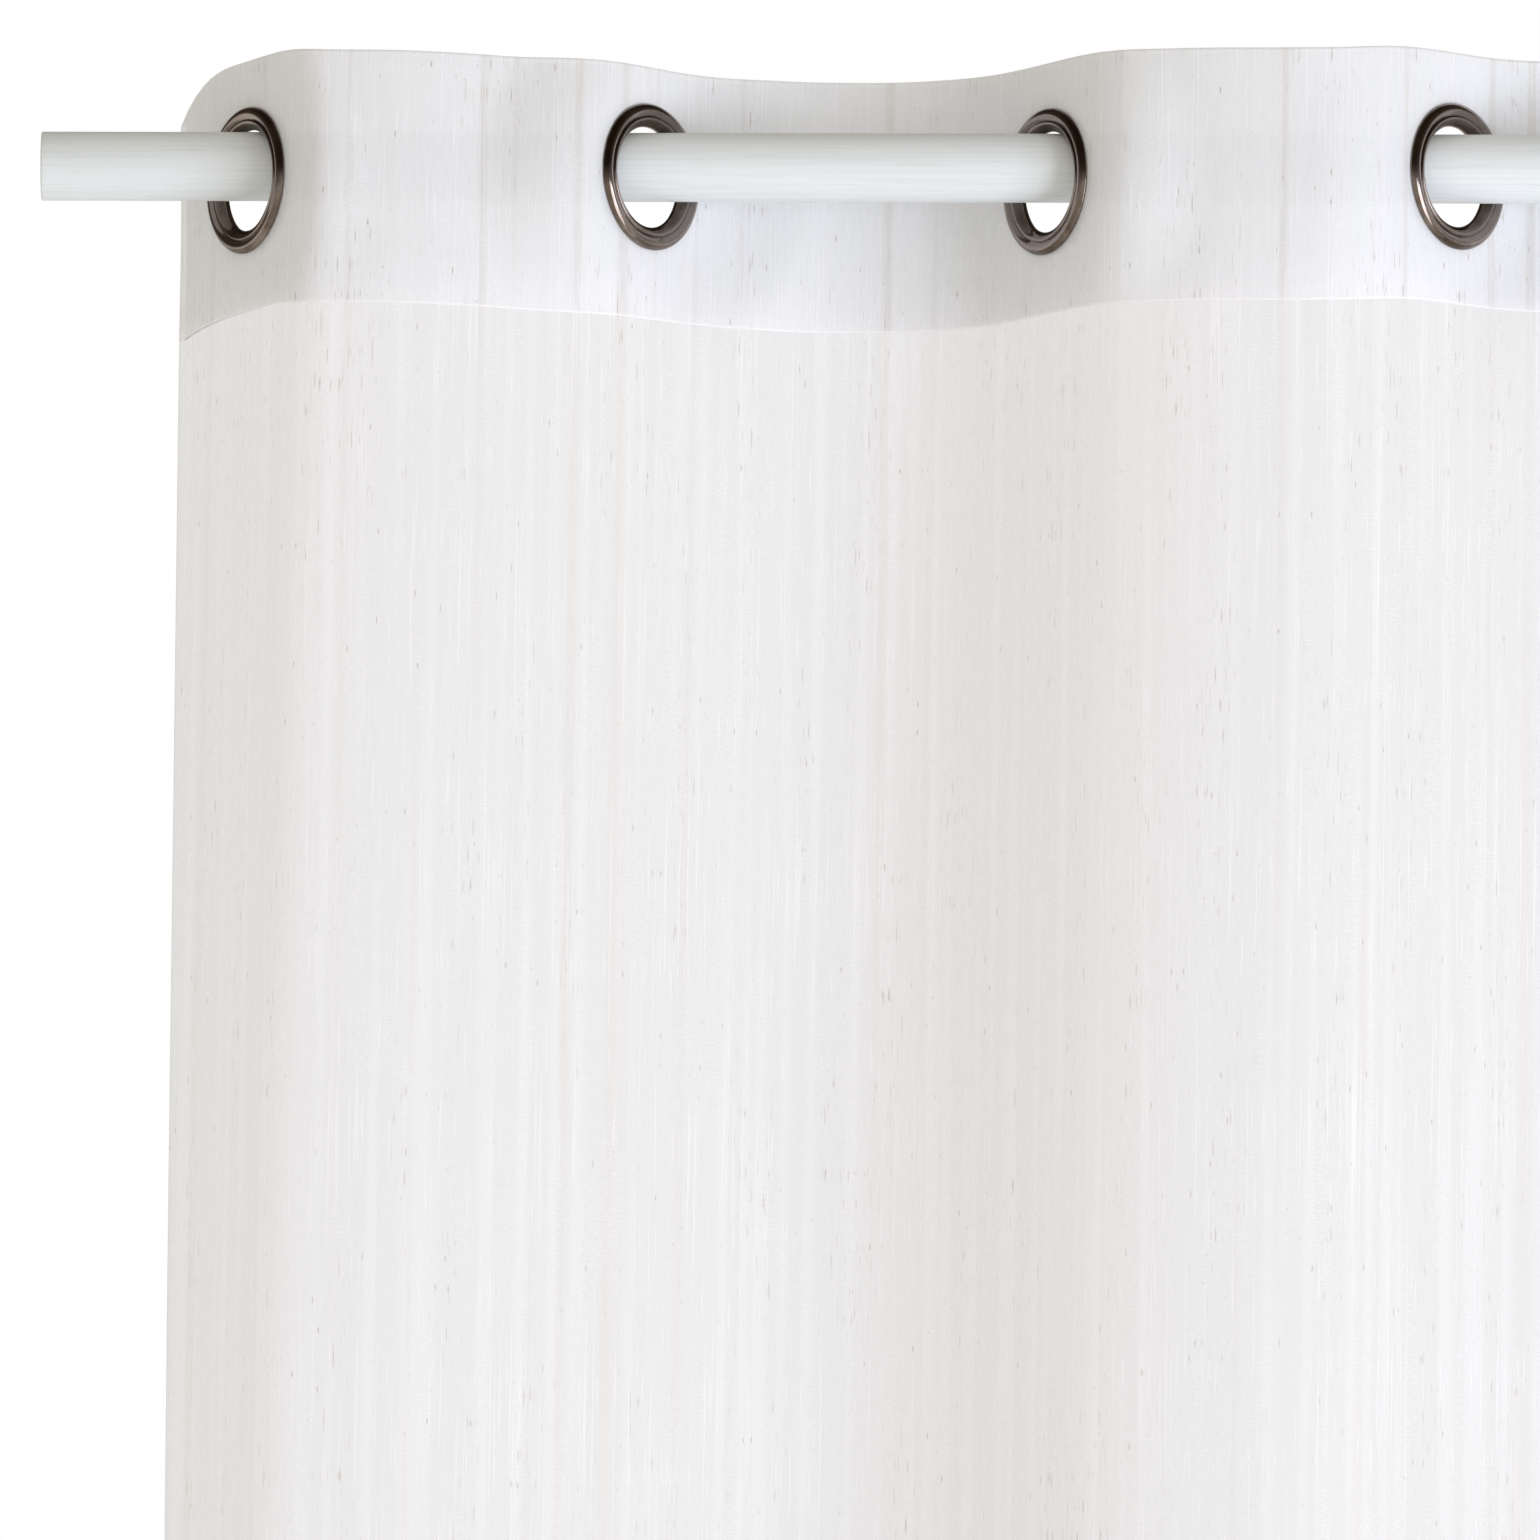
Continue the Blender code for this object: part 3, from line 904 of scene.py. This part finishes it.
@dataclass
class ClothSheet:
    """A closed thin sheet of voile, with its edges turned over and its eyelet holes cut out."""

    name: str
    cloth: HangingCloth
    rows: list[Row]
    courses: np.ndarray
    finish: Material
    thickness: float = 0.35 * MM
    hole: float = 25.0 * MM
    ripple_height: float = 1.4 * MM
    ripple_width: float = 75 * MM
    ripple_length: float = 1.1
    ripple_seed: float = 4.0

    def shape(self) -> tuple[np.ndarray, ...]:
        """Places every vertex of the two faces.

        Returns:
            Outer points, inner points, cloth places, forward normals, slack, and whether each
            place lies in a hole.
        """
        drops = np.repeat([[row.drop] for row in self.rows], len(self.courses), axis=1)
        courses = np.repeat(self.courses[None, :], len(self.rows), axis=0)
        _, along, up = self.cloth.from_eyelet(courses, drops)
        far = np.hypot(along, up)
        cut = far < self.hole
        grow = np.where(cut, self.hole / np.maximum(far, 1e-9), 1.0)
        courses = courses + along * (grow - 1)
        drops = drops - up * (grow - 1)
        outer, inner, normals, slack = [], [], [], []
        for index, row in enumerate(self.rows):
            points, facing, free = self.cloth.row(row.drop, courses[index], drops[index])
            up_or_down = np.array((0.0, 0.0, row.rise * math.sin(row.turn)))
            for faces, radius in ((outer, row.outer), (inner, row.outer - self.thickness)):
                forward = row.middle + radius * math.cos(row.turn)
                faces.append(points + facing * forward + up_or_down * radius)
            normals.append(facing)
            slack.append(free)
        front = np.array(outer)
        sides = np.cos([row.turn for row in self.rows])[:, None] * np.ones_like(courses)
        lay = np.stack((self.cloth.warp(front[:, :, 0], drops), drops, sides), axis=2)
        return front, np.array(inner), lay, np.array(normals), np.array(slack), cut

    def faces(self, cut: np.ndarray) -> np.ndarray:
        """Joins the two faces of the sheet round its rims.

        Args:
            cut: Whether each place of the grid lies in a hole.

        Returns:
            The quads' vertex indices, the inner face's after the outer's.
        """
        down, across = cut.shape
        numbers = np.arange(down * across).reshape(down, across)
        corners = [numbers[:-1, :-1], numbers[1:, :-1], numbers[1:, 1:], numbers[:-1, 1:]]
        gone = cut[:-1, :-1] & cut[1:, :-1] & cut[1:, 1:] & cut[:-1, 1:]
        front = np.stack([corner[~gone] for corner in corners], axis=1)
        edges = np.concatenate([front[:, (side, (side + 1) % 4)] for side in range(4)])
        keys = edges[:, 0] * cut.size + edges[:, 1]
        opposite = edges[:, 1] * cut.size + edges[:, 0]
        rim = edges[~np.isin(keys, opposite)]
        a, b = rim[:, 0], rim[:, 1]
        walls = np.stack((b, a, a + cut.size, b + cut.size), axis=1)
        return np.concatenate((front, front[:, ::-1] + cut.size, walls))

    def build(self) -> Object:
        """Makes the sheet and lets it ripple.

        Returns:
            The sheet's object, with the cloth place of each vertex in the attribute lay.
        """
        outer, inner, lay, facing, slack, cut = self.shape()
        places = np.concatenate((outer.reshape(-1, 3), inner.reshape(-1, 3)))
        used, joined = np.unique(self.faces(cut), return_inverse=True)
        mesh = bpy.data.meshes.new(self.name)
        mesh.from_pydata(places[used].tolist(), [], joined.reshape(-1, 4).tolist())
        for name, kind, key, values in (
            ("lay", "FLOAT_VECTOR", "vector", np.tile(lay.reshape(-1, 3), (2, 1))),
            ("facing", "FLOAT_VECTOR", "vector", np.tile(facing.reshape(-1, 3), (2, 1))),
            ("slack", "FLOAT", "value", np.tile(slack.ravel(), 2)),
            ("skin", "FLOAT", "value", np.repeat((1.0, 0.0), cut.size)),
        ):
            stored = mesh.attributes.new(name, kind, "POINT")
            stored.data.foreach_set(key, values[used].astype(np.float32).ravel())
        mesh.shade_smooth()
        sheet = grown(self.name, mesh, ripple_tree(), {
            "Height": self.ripple_height,
            "Width": self.ripple_width,
            "Length": self.ripple_length,
            "Seed": self.ripple_seed,
            "Finish": self.finish,
        })
        for name in ("facing", "slack"):
            sheet.data.attributes.remove(sheet.data.attributes[name])
        turn_outwards(sheet.data)
        return sheet


def ripple_tree() -> NodeTree:
    """Geometry Nodes that let a sheet ripple softly along its normals, where it hangs free.

    Returns:
        The tree, which reads the attributes lay, facing and slack.
    """
    name = "soft ripples"
    if name in bpy.data.node_groups:
        return bpy.data.node_groups[name]
    tree, given = new_geometry_tree(name, {
        "Height": "NodeSocketFloat", "Width": "NodeSocketFloat", "Length": "NodeSocketFloat",
        "Seed": "NodeSocketFloat", "Finish": "NodeSocketMaterial",
    })

    lay, facing, slack = (
        add_node(tree, "GeometryNodeInputNamedAttribute", {"data_type": kind}, {
            "Name": attribute,
        }).outputs[0]
        for attribute, kind in (("lay", "FLOAT_VECTOR"), ("facing", "FLOAT_VECTOR"),
                                ("slack", "FLOAT"))
    )
    size = add_node(tree, "ShaderNodeCombineXYZ", feeds={
        0: given.outputs["Width"], 1: given.outputs["Length"], 2: 1.0,
    })
    scaled = add_node(tree, "ShaderNodeVectorMath", {"operation": "DIVIDE"}, {
        0: lay, 1: size,
    })
    flat = add_node(tree, "ShaderNodeVectorMath", {"operation": "MULTIPLY"}, {
        0: scaled, 1: (1.0, 1.0, 0.0),
    })
    noise = add_node(tree, "ShaderNodeTexNoise", {"noise_dimensions": "4D"}, {
        "Vector": flat, "W": given.outputs["Seed"], "Scale": 1.0, "Detail": 1.0,
        "Roughness": 0.4,
    })
    noise_share = 4.0               # the noise strays a quarter to either side of its middle
    height = add_node(tree, "ShaderNodeMath", {"operation": "SUBTRACT"}, {
        0: noise, 1: 0.5,
    })
    free = add_node(tree, "ShaderNodeMath", {"operation": "MULTIPLY"}, {
        0: height, 1: slack,
    })
    tall = add_node(tree, "ShaderNodeMath", {"operation": "MULTIPLY"}, {
        0: free, 1: given.outputs["Height"],
    })
    twice = add_node(tree, "ShaderNodeMath", {"operation": "MULTIPLY"}, {
        0: tall, 1: noise_share,
    })
    offset = add_node(tree, "ShaderNodeVectorMath", {"operation": "SCALE"}, {
        0: facing, "Scale": twice,
    })
    moved = add_node(tree, "GeometryNodeSetPosition", feeds={
        "Geometry": given.outputs["Geometry"], "Offset": offset,
    })
    end_geometry_tree(tree, moved.outputs["Geometry"], given.outputs["Finish"])
    return tree


@dataclass
class VoileCurtain:
    """The cloth of the curtain: the panel with its hems, and the band that doubles the heading."""

    cloth: HangingCloth
    columns: int = 270
    heading_step: float = 4.6 * MM
    foot_step: float = 29 * MM
    front: float = 1.2 * MM         # the panel's outer face, forward of the reference
    behind: float = -1.45 * MM      # the band's outer face
    thickness: float = 0.35 * MM
    foot_hem: float = 32 * MM
    hem_reach: float = 0.6 * MM     # radius of the fold at the foot
    hem_step: float = 14 * MM
    top_steps: int = 8
    hem_steps: int = 6
    band_top: float = 0.3 * MM      # the band's own upper edge, under the fold
    band_reach: float = 0.5 * MM
    sewn_strip: float = 15 * MM     # the denser strip along the band's lower edge
    seen_lower: float = 0.8 * MM    # how far the band's edge shows below its drop, from below

    def __post_init__(self) -> None:
        """Lays out the grid's courses."""
        self.courses = np.linspace(0.0, self.cloth.width, self.columns)

    def flat_rows(self, start: float, end: float, step: float, turn: float, face: float,
                  reach: float) -> list[Row]:
        """Even rows of a flat stretch of the sheet.

        Args:
            start: The first row's drop.
            end: The last row's drop.
            step: About how far apart the rows lie.
            turn: 0 where the outer face lies forward, pi where it lies behind.
            face: Where the outer face lies, forward of the reference.
            reach: Radius of the outer face at the sheet's turned-over edge.

        Returns:
            The rows in order.
        """
        count = max(2, round(abs(end - start) / step) + 1)
        middle = face - reach * math.cos(turn)
        return [Row(float(drop), turn, middle, reach, 0.0)
                for drop in np.linspace(start, end, count)]

    def turned_rows(self, drop: float, steps: int, turns: tuple[float, float], face: float,
                    reach: float, rise: float) -> list[Row]:
        """Rows round a turned-over edge, without its two ends.

        Args:
            drop: The edge's drop.
            steps: How many steps go round it.
            turns: The first and last turn.
            face: Where the outer face lies at a turn of 0.
            reach: Radius of the outer face.
            rise: +1 for an upper edge and -1 for a lower one.

        Returns:
            The rows in order.
        """
        return [Row(drop, float(turn), face - reach, reach, rise)
                for turn in np.linspace(*turns, steps + 1)[1:-1]]

    def panel(self, finish: Material) -> Object:
        """The panel, over the heading's fold, down the front and round the foot hem.

        Args:
            finish: The cloth's material.

        Returns:
            The finished piece.
        """
        fold = (self.front - self.behind) / 2
        hem = self.hem_reach
        turn_back = (math.pi, 0.0)
        foot = self.cloth.drop
        head = self.cloth.heading
        rows = [
            Row(0.0, math.pi, self.front - fold, fold, 1.0),
            *self.turned_rows(0.0, self.top_steps, turn_back, self.front, fold, 1.0),
            *self.flat_rows(0.0, head, self.heading_step, 0.0, self.front, hem),
            *self.flat_rows(head, foot, self.foot_step, 0.0, self.front, hem)[1:],
            *self.turned_rows(foot, self.hem_steps, turn_back[::-1], self.front, hem, -1.0),
            *self.flat_rows(foot, foot - self.foot_hem, self.hem_step, math.pi,
                            self.front - 2 * hem, hem),
        ]
        sheet = ClothSheet("voile_panel_cloth", self.cloth, rows, self.courses, finish,
                           self.thickness)
        return sheet.build()

    def band(self, finish: Material) -> Object:
        """The doubled heading band behind the panel.

        Args:
            finish: The doubled cloth's material.

        Returns:
            The finished piece.
        """
        rows = self.flat_rows(self.band_top, self.cloth.heading, self.heading_step, math.pi,
                              self.behind, self.band_reach)
        sheet = ClothSheet("heading_band_cloth", self.cloth, rows, self.courses, finish,
                           self.thickness)
        return sheet.build()


@dataclass
class Stitching:
    """Rows of lockstitch along the hems, made by Geometry Nodes along the sewn lines."""

    pitch: float = 3.6 * MM
    length: float = 2.9 * MM
    thread: float = 0.55 * MM
    shortest: float = 0.85          # size of the smallest stitch beside the largest

    def tree(self) -> NodeTree:
        """Geometry Nodes that lay one short stitch after another along lines.

        Returns:
            The tree.
        """
        tree, given = new_geometry_tree("stitches along lines", {
            "Pitch": "NodeSocketFloat", "Length": "NodeSocketFloat", "Thread": "NodeSocketFloat",
            "Seed": "NodeSocketInt", "Finish": "NodeSocketMaterial",
        })
        lines = add_node(tree, "GeometryNodeMeshToCurve", feeds={
            "Mesh": given.outputs["Geometry"],
        })
        spaced = add_node(tree, "GeometryNodeResampleCurve", {"mode": "LENGTH"}, {
            "Curve": lines, "Length": given.outputs["Pitch"],
        })
        stitch = add_node(tree, "GeometryNodeMeshIcoSphere", feeds={
            "Radius": 0.5, "Subdivisions": 1,
        })
        size = add_node(tree, "ShaderNodeCombineXYZ", feeds={
            0: given.outputs["Length"], 1: given.outputs["Thread"], 2: given.outputs["Thread"],
        })
        uneven = add_node(tree, "FunctionNodeRandomValue", feeds={
            "Min": (self.shortest,) * 3, "Max": (1.0, 1.0, 1.0), "Seed": given.outputs["Seed"],
        }, settings={"data_type": "FLOAT_VECTOR"})
        scaled = add_node(tree, "ShaderNodeVectorMath", {"operation": "MULTIPLY"}, {
            0: size, 1: uneven,
        })
        tangent = add_node(tree, "GeometryNodeInputTangent")
        aligned = add_node(tree, "FunctionNodeAlignRotationToVector", {"axis": "X"}, {
            "Vector": tangent,
        })
        placed = add_node(tree, "GeometryNodeInstanceOnPoints", feeds={
            "Points": spaced, "Instance": stitch,
            "Rotation": aligned, "Scale": scaled,
        })
        end_geometry_tree(tree, placed.outputs[0], given.outputs["Finish"])
        return tree

    def lines_on(self, sheet: Object, drops: list[float]) -> Mesh:
        """Takes the sewn lines off a finished sheet's own rows of vertices.

        Args:
            sheet: The finished sheet.
            drops: About the drops of the lines; each moves to the nearest row.

        Returns:
            A mesh of edges only.
        """
        data = sheet.data
        lay = np.empty(len(data.vertices) * 3, dtype=np.float32)
        data.attributes["lay"].data.foreach_get("vector", lay)
        lay = lay.reshape(-1, 3)
        places = np.empty(len(data.vertices) * 3, dtype=np.float32)
        data.vertices.foreach_get("co", places)
        places = places.reshape(-1, 3)
        near = 0.3 * MM
        forward = lay[:, 2] > 0
        points, edges = [], []
        for drop in drops:
            row = lay[forward, 1][np.abs(lay[forward, 1] - drop).argmin()]
            on_line = forward & (np.abs(lay[:, 1] - row) < near)
            keys = np.round(lay[on_line, 0] / near)
            middle = [places[on_line][keys == key].mean(axis=0) for key in np.unique(keys)]
            first = len(points)
            points.extend(point.tolist() for point in middle)
            edges.extend((first + step, first + step + 1) for step in range(len(middle) - 1))
        mesh = bpy.data.meshes.new("sewn lines")
        mesh.from_pydata(points, edges, [])
        return mesh

    def build(self, name: str, lines: Mesh, seed: int, finish: Material) -> Object:
        """Makes one piece of stitching.

        Args:
            name: The piece's name.
            lines: The sewn lines.
            seed: The seed of the stitches' unevenness.
            finish: The thread's material.

        Returns:
            The finished piece.
        """
        return grown(name, lines, self.tree(), {
            "Pitch": self.pitch, "Length": self.length, "Thread": self.thread, "Seed": seed,
            "Finish": finish,
        })


@dataclass
class Eyelets:
    """The eight pairs of rings, turned from their half sections by Geometry Nodes."""

    cloth: HangingCloth
    steps: int = 96
    turning_radius: float = 25 * MM
    washer_edge: float = 0.6 * MM
    worn: float = 0.7               # how worn the crest of a front ring is

    def __post_init__(self) -> None:
        """Takes the half sections of the rings."""
        ring = self.cloth.ring
        self.front_outline = [
            *ring.mouth(),
            (24.6 * MM, 2.8 * MM),
            (25.6 * MM, 3.5 * MM),
            (27.3 * MM, ring.crest + 0.2 * MM),
            (29.2 * MM, 3.4 * MM),
            (ring.flange, 2.1 * MM),
            (ring.flange, ring.seat),
            (ring.barrel, ring.seat),
            (ring.barrel, ring.barrel_end),
        ]
        edge = self.washer_edge
        self.back_outline = [
            (ring.barrel + ring.gap, ring.barrel_end),
            (ring.barrel + ring.gap, ring.washer_seat),
            (ring.washer, ring.washer_seat),
            (ring.washer, ring.washer_seat - edge),
            (ring.washer - edge, ring.barrel_end),
        ]

    def tree(self) -> NodeTree:
        """Geometry Nodes that turn a half section into a ring and set it in its place.

        Returns:
            The tree. The section's X is its distance from the turning radius.
        """
        tree, given = new_geometry_tree("turned ring", {
            "Turning Radius": "NodeSocketFloat", "Steps": "NodeSocketInt",
            "Place": "NodeSocketVector", "Rotation": "NodeSocketVector",
            "Finish": "NodeSocketMaterial",
        })
        circle = add_node(tree, "GeometryNodeCurvePrimitiveCircle", feeds={
            "Resolution": given.outputs["Steps"], "Radius": given.outputs["Turning Radius"],
        })
        section = add_node(tree, "GeometryNodeMeshToCurve", feeds={
            "Mesh": given.outputs["Geometry"],
        })
        swept = add_node(tree, "GeometryNodeCurveToMesh", feeds={
            "Curve": circle, "Profile Curve": section,
        })
        placed = add_node(tree, "GeometryNodeTransform", feeds={
            "Geometry": swept, "Translation": given.outputs["Place"],
            "Rotation": given.outputs["Rotation"],
        })
        end_geometry_tree(tree, placed.outputs[0], given.outputs["Finish"])
        return tree

    def section(self, name: str, outline: list[tuple[float, float]], sharp: float) -> Mesh:
        """Rounds a half section's corners into a closed line of edges.

        Args:
            name: The section's name.
            outline: Its corners as (radius, height).
            sharp: How much of each side is left straight, from 0 to 1.

        Returns:
            The line, with its wear in the attribute wear.
        """
        corners = np.array(outline)
        count = len(corners)
        points, wear = [], []
        for index in range(count):
            before, here, after = (corners[(index + step) % count] for step in (-1, 0, 1))
            start = here + (before - here) * (1 - sharp) / 2
            end = here + (after - here) * (1 - sharp) / 2
            for t in (0.0, 0.25, 0.5, 0.75, 1.0):
                points.append((1 - t) ** 2 * start + 2 * t * (1 - t) * here + t * t * end)
                on_crest = here[1] >= self.cloth.ring.crest - self.washer_edge
                wear.append(self.worn if on_crest else 0.0)
        mesh = bpy.data.meshes.new(name)
        places = [(x - self.turning_radius, -y, 0.0) for x, y in points]
        mesh.from_pydata(places, [(i, (i + 1) % len(places)) for i in range(len(places))], [])
        stored = mesh.attributes.new("wear", "FLOAT", "POINT")
        stored.data.foreach_set("value", wear)
        return mesh

    def build(self, finish: Material, back_finish: Material) -> list[Object]:
        """Makes all the rings.

        Args:
            finish: The front rings' plate.
            back_finish: The back rings' plate.

        Returns:
            The finished rings.
        """
        tree = self.tree()
        made = []
        for index in range(len(self.cloth.eyelets)):
            for side, outline, plate, sharp in (
                ("front", self.front_outline, finish, 0.15),
                ("back", self.back_outline, back_finish, 0.55),
            ):
                node = f"eyelet_{index + 1}_{side}"
                ring = grown(f"{node}_ring", self.section(node, outline, sharp), tree, {
                    "Turning Radius": self.turning_radius, "Steps": self.steps,
                    "Place": Vector(self.cloth.centres[index]),
                    "Rotation": Vector((math.pi / 2, 0.0, self.cloth.turns[index])),
                    "Finish": plate,
                })
                ring.data.shade_smooth()
                turn_outwards(ring.data)
                made.append(settle(ring, Slot.NICKEL, node))
        return made


@dataclass
class Rod:
    """The round wooden rod, cut square, its sawn edges rubbed down."""

    radius: float = 14 * MM
    length: float = 1.313
    edge: float = 0.8 * MM
    sides: int = 128
    sections: int = 60
    inset: float = 3 * MM           # from each end to the first section of the plain length

    def build(self, finish: Material) -> Object:
        """Makes the rod.

        Args:
            finish: The painted wood's material.

        Returns:
            The finished piece.
        """
        half = self.length / 2
        corner = np.linspace(0.0, math.pi / 2, 6)
        ends = [(half - self.edge * (1 - math.sin(a)), self.radius - self.edge * (1 - math.cos(a)))
                for a in corner]
        inner = [(half, self.radius * share) for share in (0.8, 0.55, 0.3, 0.1)]
        right = [*ends, *inner]
        plain = half - self.inset
        body = [(x, self.radius) for x in np.linspace(-plain, plain, self.sections)]
        outline = [*((-x, r) for x, r in reversed(right)), *body, *right]
        around = np.linspace(0.0, 2 * math.pi, self.sides, endpoint=False)
        points = [(x, r * math.cos(a), r * math.sin(a)) for x, r in outline for a in around]
        points += [(-half, 0.0, 0.0), (half, 0.0, 0.0)]
        faces = []
        for step in range(len(outline) - 1):
            low, high = step * self.sides, (step + 1) * self.sides
            faces += [(low + i, low + (i + 1) % self.sides, high + (i + 1) % self.sides, high + i)
                      for i in range(self.sides)]
        last = (len(outline) - 1) * self.sides
        for i in range(self.sides):
            after = (i + 1) % self.sides
            faces.append((len(points) - 2, after, i))
            faces.append((len(points) - 1, last + i, last + after))
        mesh = bpy.data.meshes.new("rod_turned")
        mesh.from_pydata(points, [], faces)
        mesh.shade_smooth()
        mesh.materials.append(finish)
        turn_outwards(mesh)
        rod = bpy.data.objects.new("rod_turned", mesh)
        bpy.context.scene.collection.objects.link(rod)
        return settle(rod, Slot.WOOD, "rod")


@dataclass
class Studio:
    """A pale floor, a white surround, and one big soft light from the right."""

    floor_gap: float = 0.03
    floor_half: float = 16.0
    surround_low: str = "#E2D8C8"
    surround_high: str = "#C4BEB2"
    surround_strength: float = 1.10
    ceiling: str = "#463C32"
    walls: str = "#F4F0EE"
    mirrored_strength: float = 1.25
    low_from: float = -0.6          # sine of the height where the lower surround ends
    high_from: float = 0.8
    ceiling_from: tuple[float, float] = (-0.35, 0.25)
    key_place: tuple[float, float, float] = (1.9, -2.0, -1.15)
    key_aim: tuple[float, float, float] = (-0.3, 0.0, -0.7)
    key_size: tuple[float, float] = (1.4, 2.2)
    key_power: float = 66.0
    key_colour: str = "#EBF0FF"

    def floor(self) -> Object:
        """Lays the floor just under the curtain.

        Returns:
            The floor.
        """
        low = CAD_BOX[0].z - self.floor_gap
        half = self.floor_half
        mesh = bpy.data.meshes.new("studio_floor")
        corners = [(-half, -half, low), (half, -half, low), (half, half, low), (-half, half, low)]
        mesh.from_pydata(corners, [], [(0, 1, 2, 3)])
        mesh.materials.append(FloorFinish("matt pale floor").build())
        floor = bpy.data.objects.new("studio_floor", mesh)
        bpy.context.scene.collection.objects.link(floor)
        return floor

    def surround(self) -> None:
        """Sets a plain white background whose light comes softly from below and around."""
        world = bpy.data.worlds.new("white studio")
        bpy.context.scene.world = world
        world.use_nodes = True
        tree = world.node_tree
        tree.nodes.clear()
        way = add_node(tree, "ShaderNodeTexCoord").outputs["Generated"]
        height = add_node(tree, "ShaderNodeSeparateXYZ", feeds={0: way})
        share = add_node(tree, "ShaderNodeMapRange", feeds={
            "Value": height.outputs[2], "From Min": self.low_from, "From Max": self.high_from,
        })
        shade = add_node(tree, "ShaderNodeMix", {"data_type": "RGBA"}, {
            0: share, 6: linear(self.surround_low), 7: linear(self.surround_high),
        })
        light = add_node(tree, "ShaderNodeBackground", feeds={
            "Color": shade.outputs[2], "Strength": self.surround_strength,
        })
        white = add_node(tree, "ShaderNodeBackground", feeds={"Color": (1.0, 1.0, 1.0, 1.0)})
        up = add_node(tree, "ShaderNodeMapRange", {"interpolation_type": "SMOOTHSTEP"}, {
            "Value": height.outputs[2],
            "From Min": self.ceiling_from[0],
            "From Max": self.ceiling_from[1],
        })
        mirrored = add_node(tree, "ShaderNodeMix", {"data_type": "RGBA"}, {
            0: up, 6: linear(self.walls), 7: linear(self.ceiling),
        })
        reflected = add_node(tree, "ShaderNodeBackground", feeds={
            "Color": mirrored.outputs[2], "Strength": self.mirrored_strength,
        })
        path = add_node(tree, "ShaderNodeLightPath")
        lighting = add_node(tree, "ShaderNodeMixShader", feeds={
            0: path.outputs["Is Glossy Ray"], 1: light, 2: reflected,
        })
        shown = add_node(tree, "ShaderNodeMixShader", feeds={
            0: path.outputs["Is Camera Ray"], 1: lighting, 2: white,
        })
        add_node(tree, "ShaderNodeOutputWorld", feeds={"Surface": shown})

    def key(self) -> Object:
        """Sets the soft light at the right, level with the middle of the curtain.

        Returns:
            The light.
        """
        data = bpy.data.lights.new("key", "AREA")
        data.shape = "RECTANGLE"
        data.size, data.size_y = self.key_size
        data.energy = self.key_power
        data.color = linear(self.key_colour)[:3]
        light = bpy.data.objects.new("key", data)
        bpy.context.scene.collection.objects.link(light)
        light.location = self.key_place
        aim = Vector(self.key_aim) - light.location
        light.rotation_euler = aim.to_track_quat("-Z", "Y").to_euler()
        return light

    def build(self) -> None:
        """Makes the floor, the surround and the light."""
        self.floor()
        self.surround()
        self.key()
        bpy.context.scene.view_settings.view_transform = "Standard"


@dataclass
class PhotoCamera:
    """A camera low in front of the curtain's upper left, looking a little up."""

    frame_px: float = 1540.0
    focal_px: float = 22515.9
    place: tuple[float, float, float] = (-0.311, -9.0, -1.560)
    yaw: float = math.radians(0.314)
    pitch: float = math.radians(8.301)
    roll: float = math.radians(0.171)
    sensor: float = 36.0

    def build(self) -> Object:
        """Makes the camera and gives it to the scene.

        Returns:
            The camera.
        """
        yaw, pitch, roll = self.yaw, self.pitch, self.roll
        ahead = Vector((-math.sin(yaw) * math.cos(pitch), math.cos(yaw) * math.cos(pitch),
                        math.sin(pitch)))
        level = Vector((math.cos(yaw), math.sin(yaw), 0.0))
        upright = level.cross(ahead)
        right = level * math.cos(roll) + upright * math.sin(roll)
        up = upright * math.cos(roll) - level * math.sin(roll)
        data = bpy.data.cameras.new("photo camera")
        data.sensor_width = self.sensor
        data.lens = self.sensor * self.focal_px / self.frame_px
        data.clip_end = 100.0
        camera = bpy.data.objects.new("photo camera", data)
        bpy.context.scene.collection.objects.link(camera)
        axes = Matrix((right, up, -ahead)).transposed().to_4x4()
        camera.matrix_world = Matrix.Translation(self.place) @ axes
        bpy.context.scene.camera = camera
        return camera


def main() -> None:
    """Builds the curtain, its rod and the studio."""
    logging.basicConfig(level=logging.INFO, format="%(name)s: %(message)s")
    cloth = HangingCloth()
    turned_from = cloth.heading - VoileCurtain.sewn_strip
    zones = {"doubled_to": cloth.heading + VoileCurtain.seen_lower, "turned_from": turned_from}
    voile = VoileFinish("slub voile", **zones).build()
    doubled = VoileFinish("slub voile doubled", **zones).build()
    nickel = NickelFinish("black nickel plate").build()
    nickel_back = NickelFinish("black nickel plate back", smoothest=0.20, roughest=0.32).build()
    whitewash = WhitewashFinish("whitewashed softwood").build()
    thread = ThreadFinish("polyester thread").build()

    Rod().build(whitewash)
    rings = Eyelets(cloth).build(nickel, nickel_back)
    curtain = VoileCurtain(cloth)
    panel = settle(curtain.panel(voile), Slot.VOILE, "voile_panel")
    sewing = Stitching()
    sewn = sewing.lines_on(
        panel, [cloth.heading - curtain.heading_step, cloth.drop - curtain.foot_step]
    )
    stitches = settle(sewing.build("hem_stitches", sewn, 7, thread), Slot.VOILE)
    band = settle(curtain.band(doubled), Slot.DOUBLED, "heading_band")
    LOG.info("flat width %.4f m, eyelet courses %s", cloth.width, cloth.eyelet_courses.round(4))

    Studio().build()
    PhotoCamera().build()


if __name__ == "__main__":
    main()
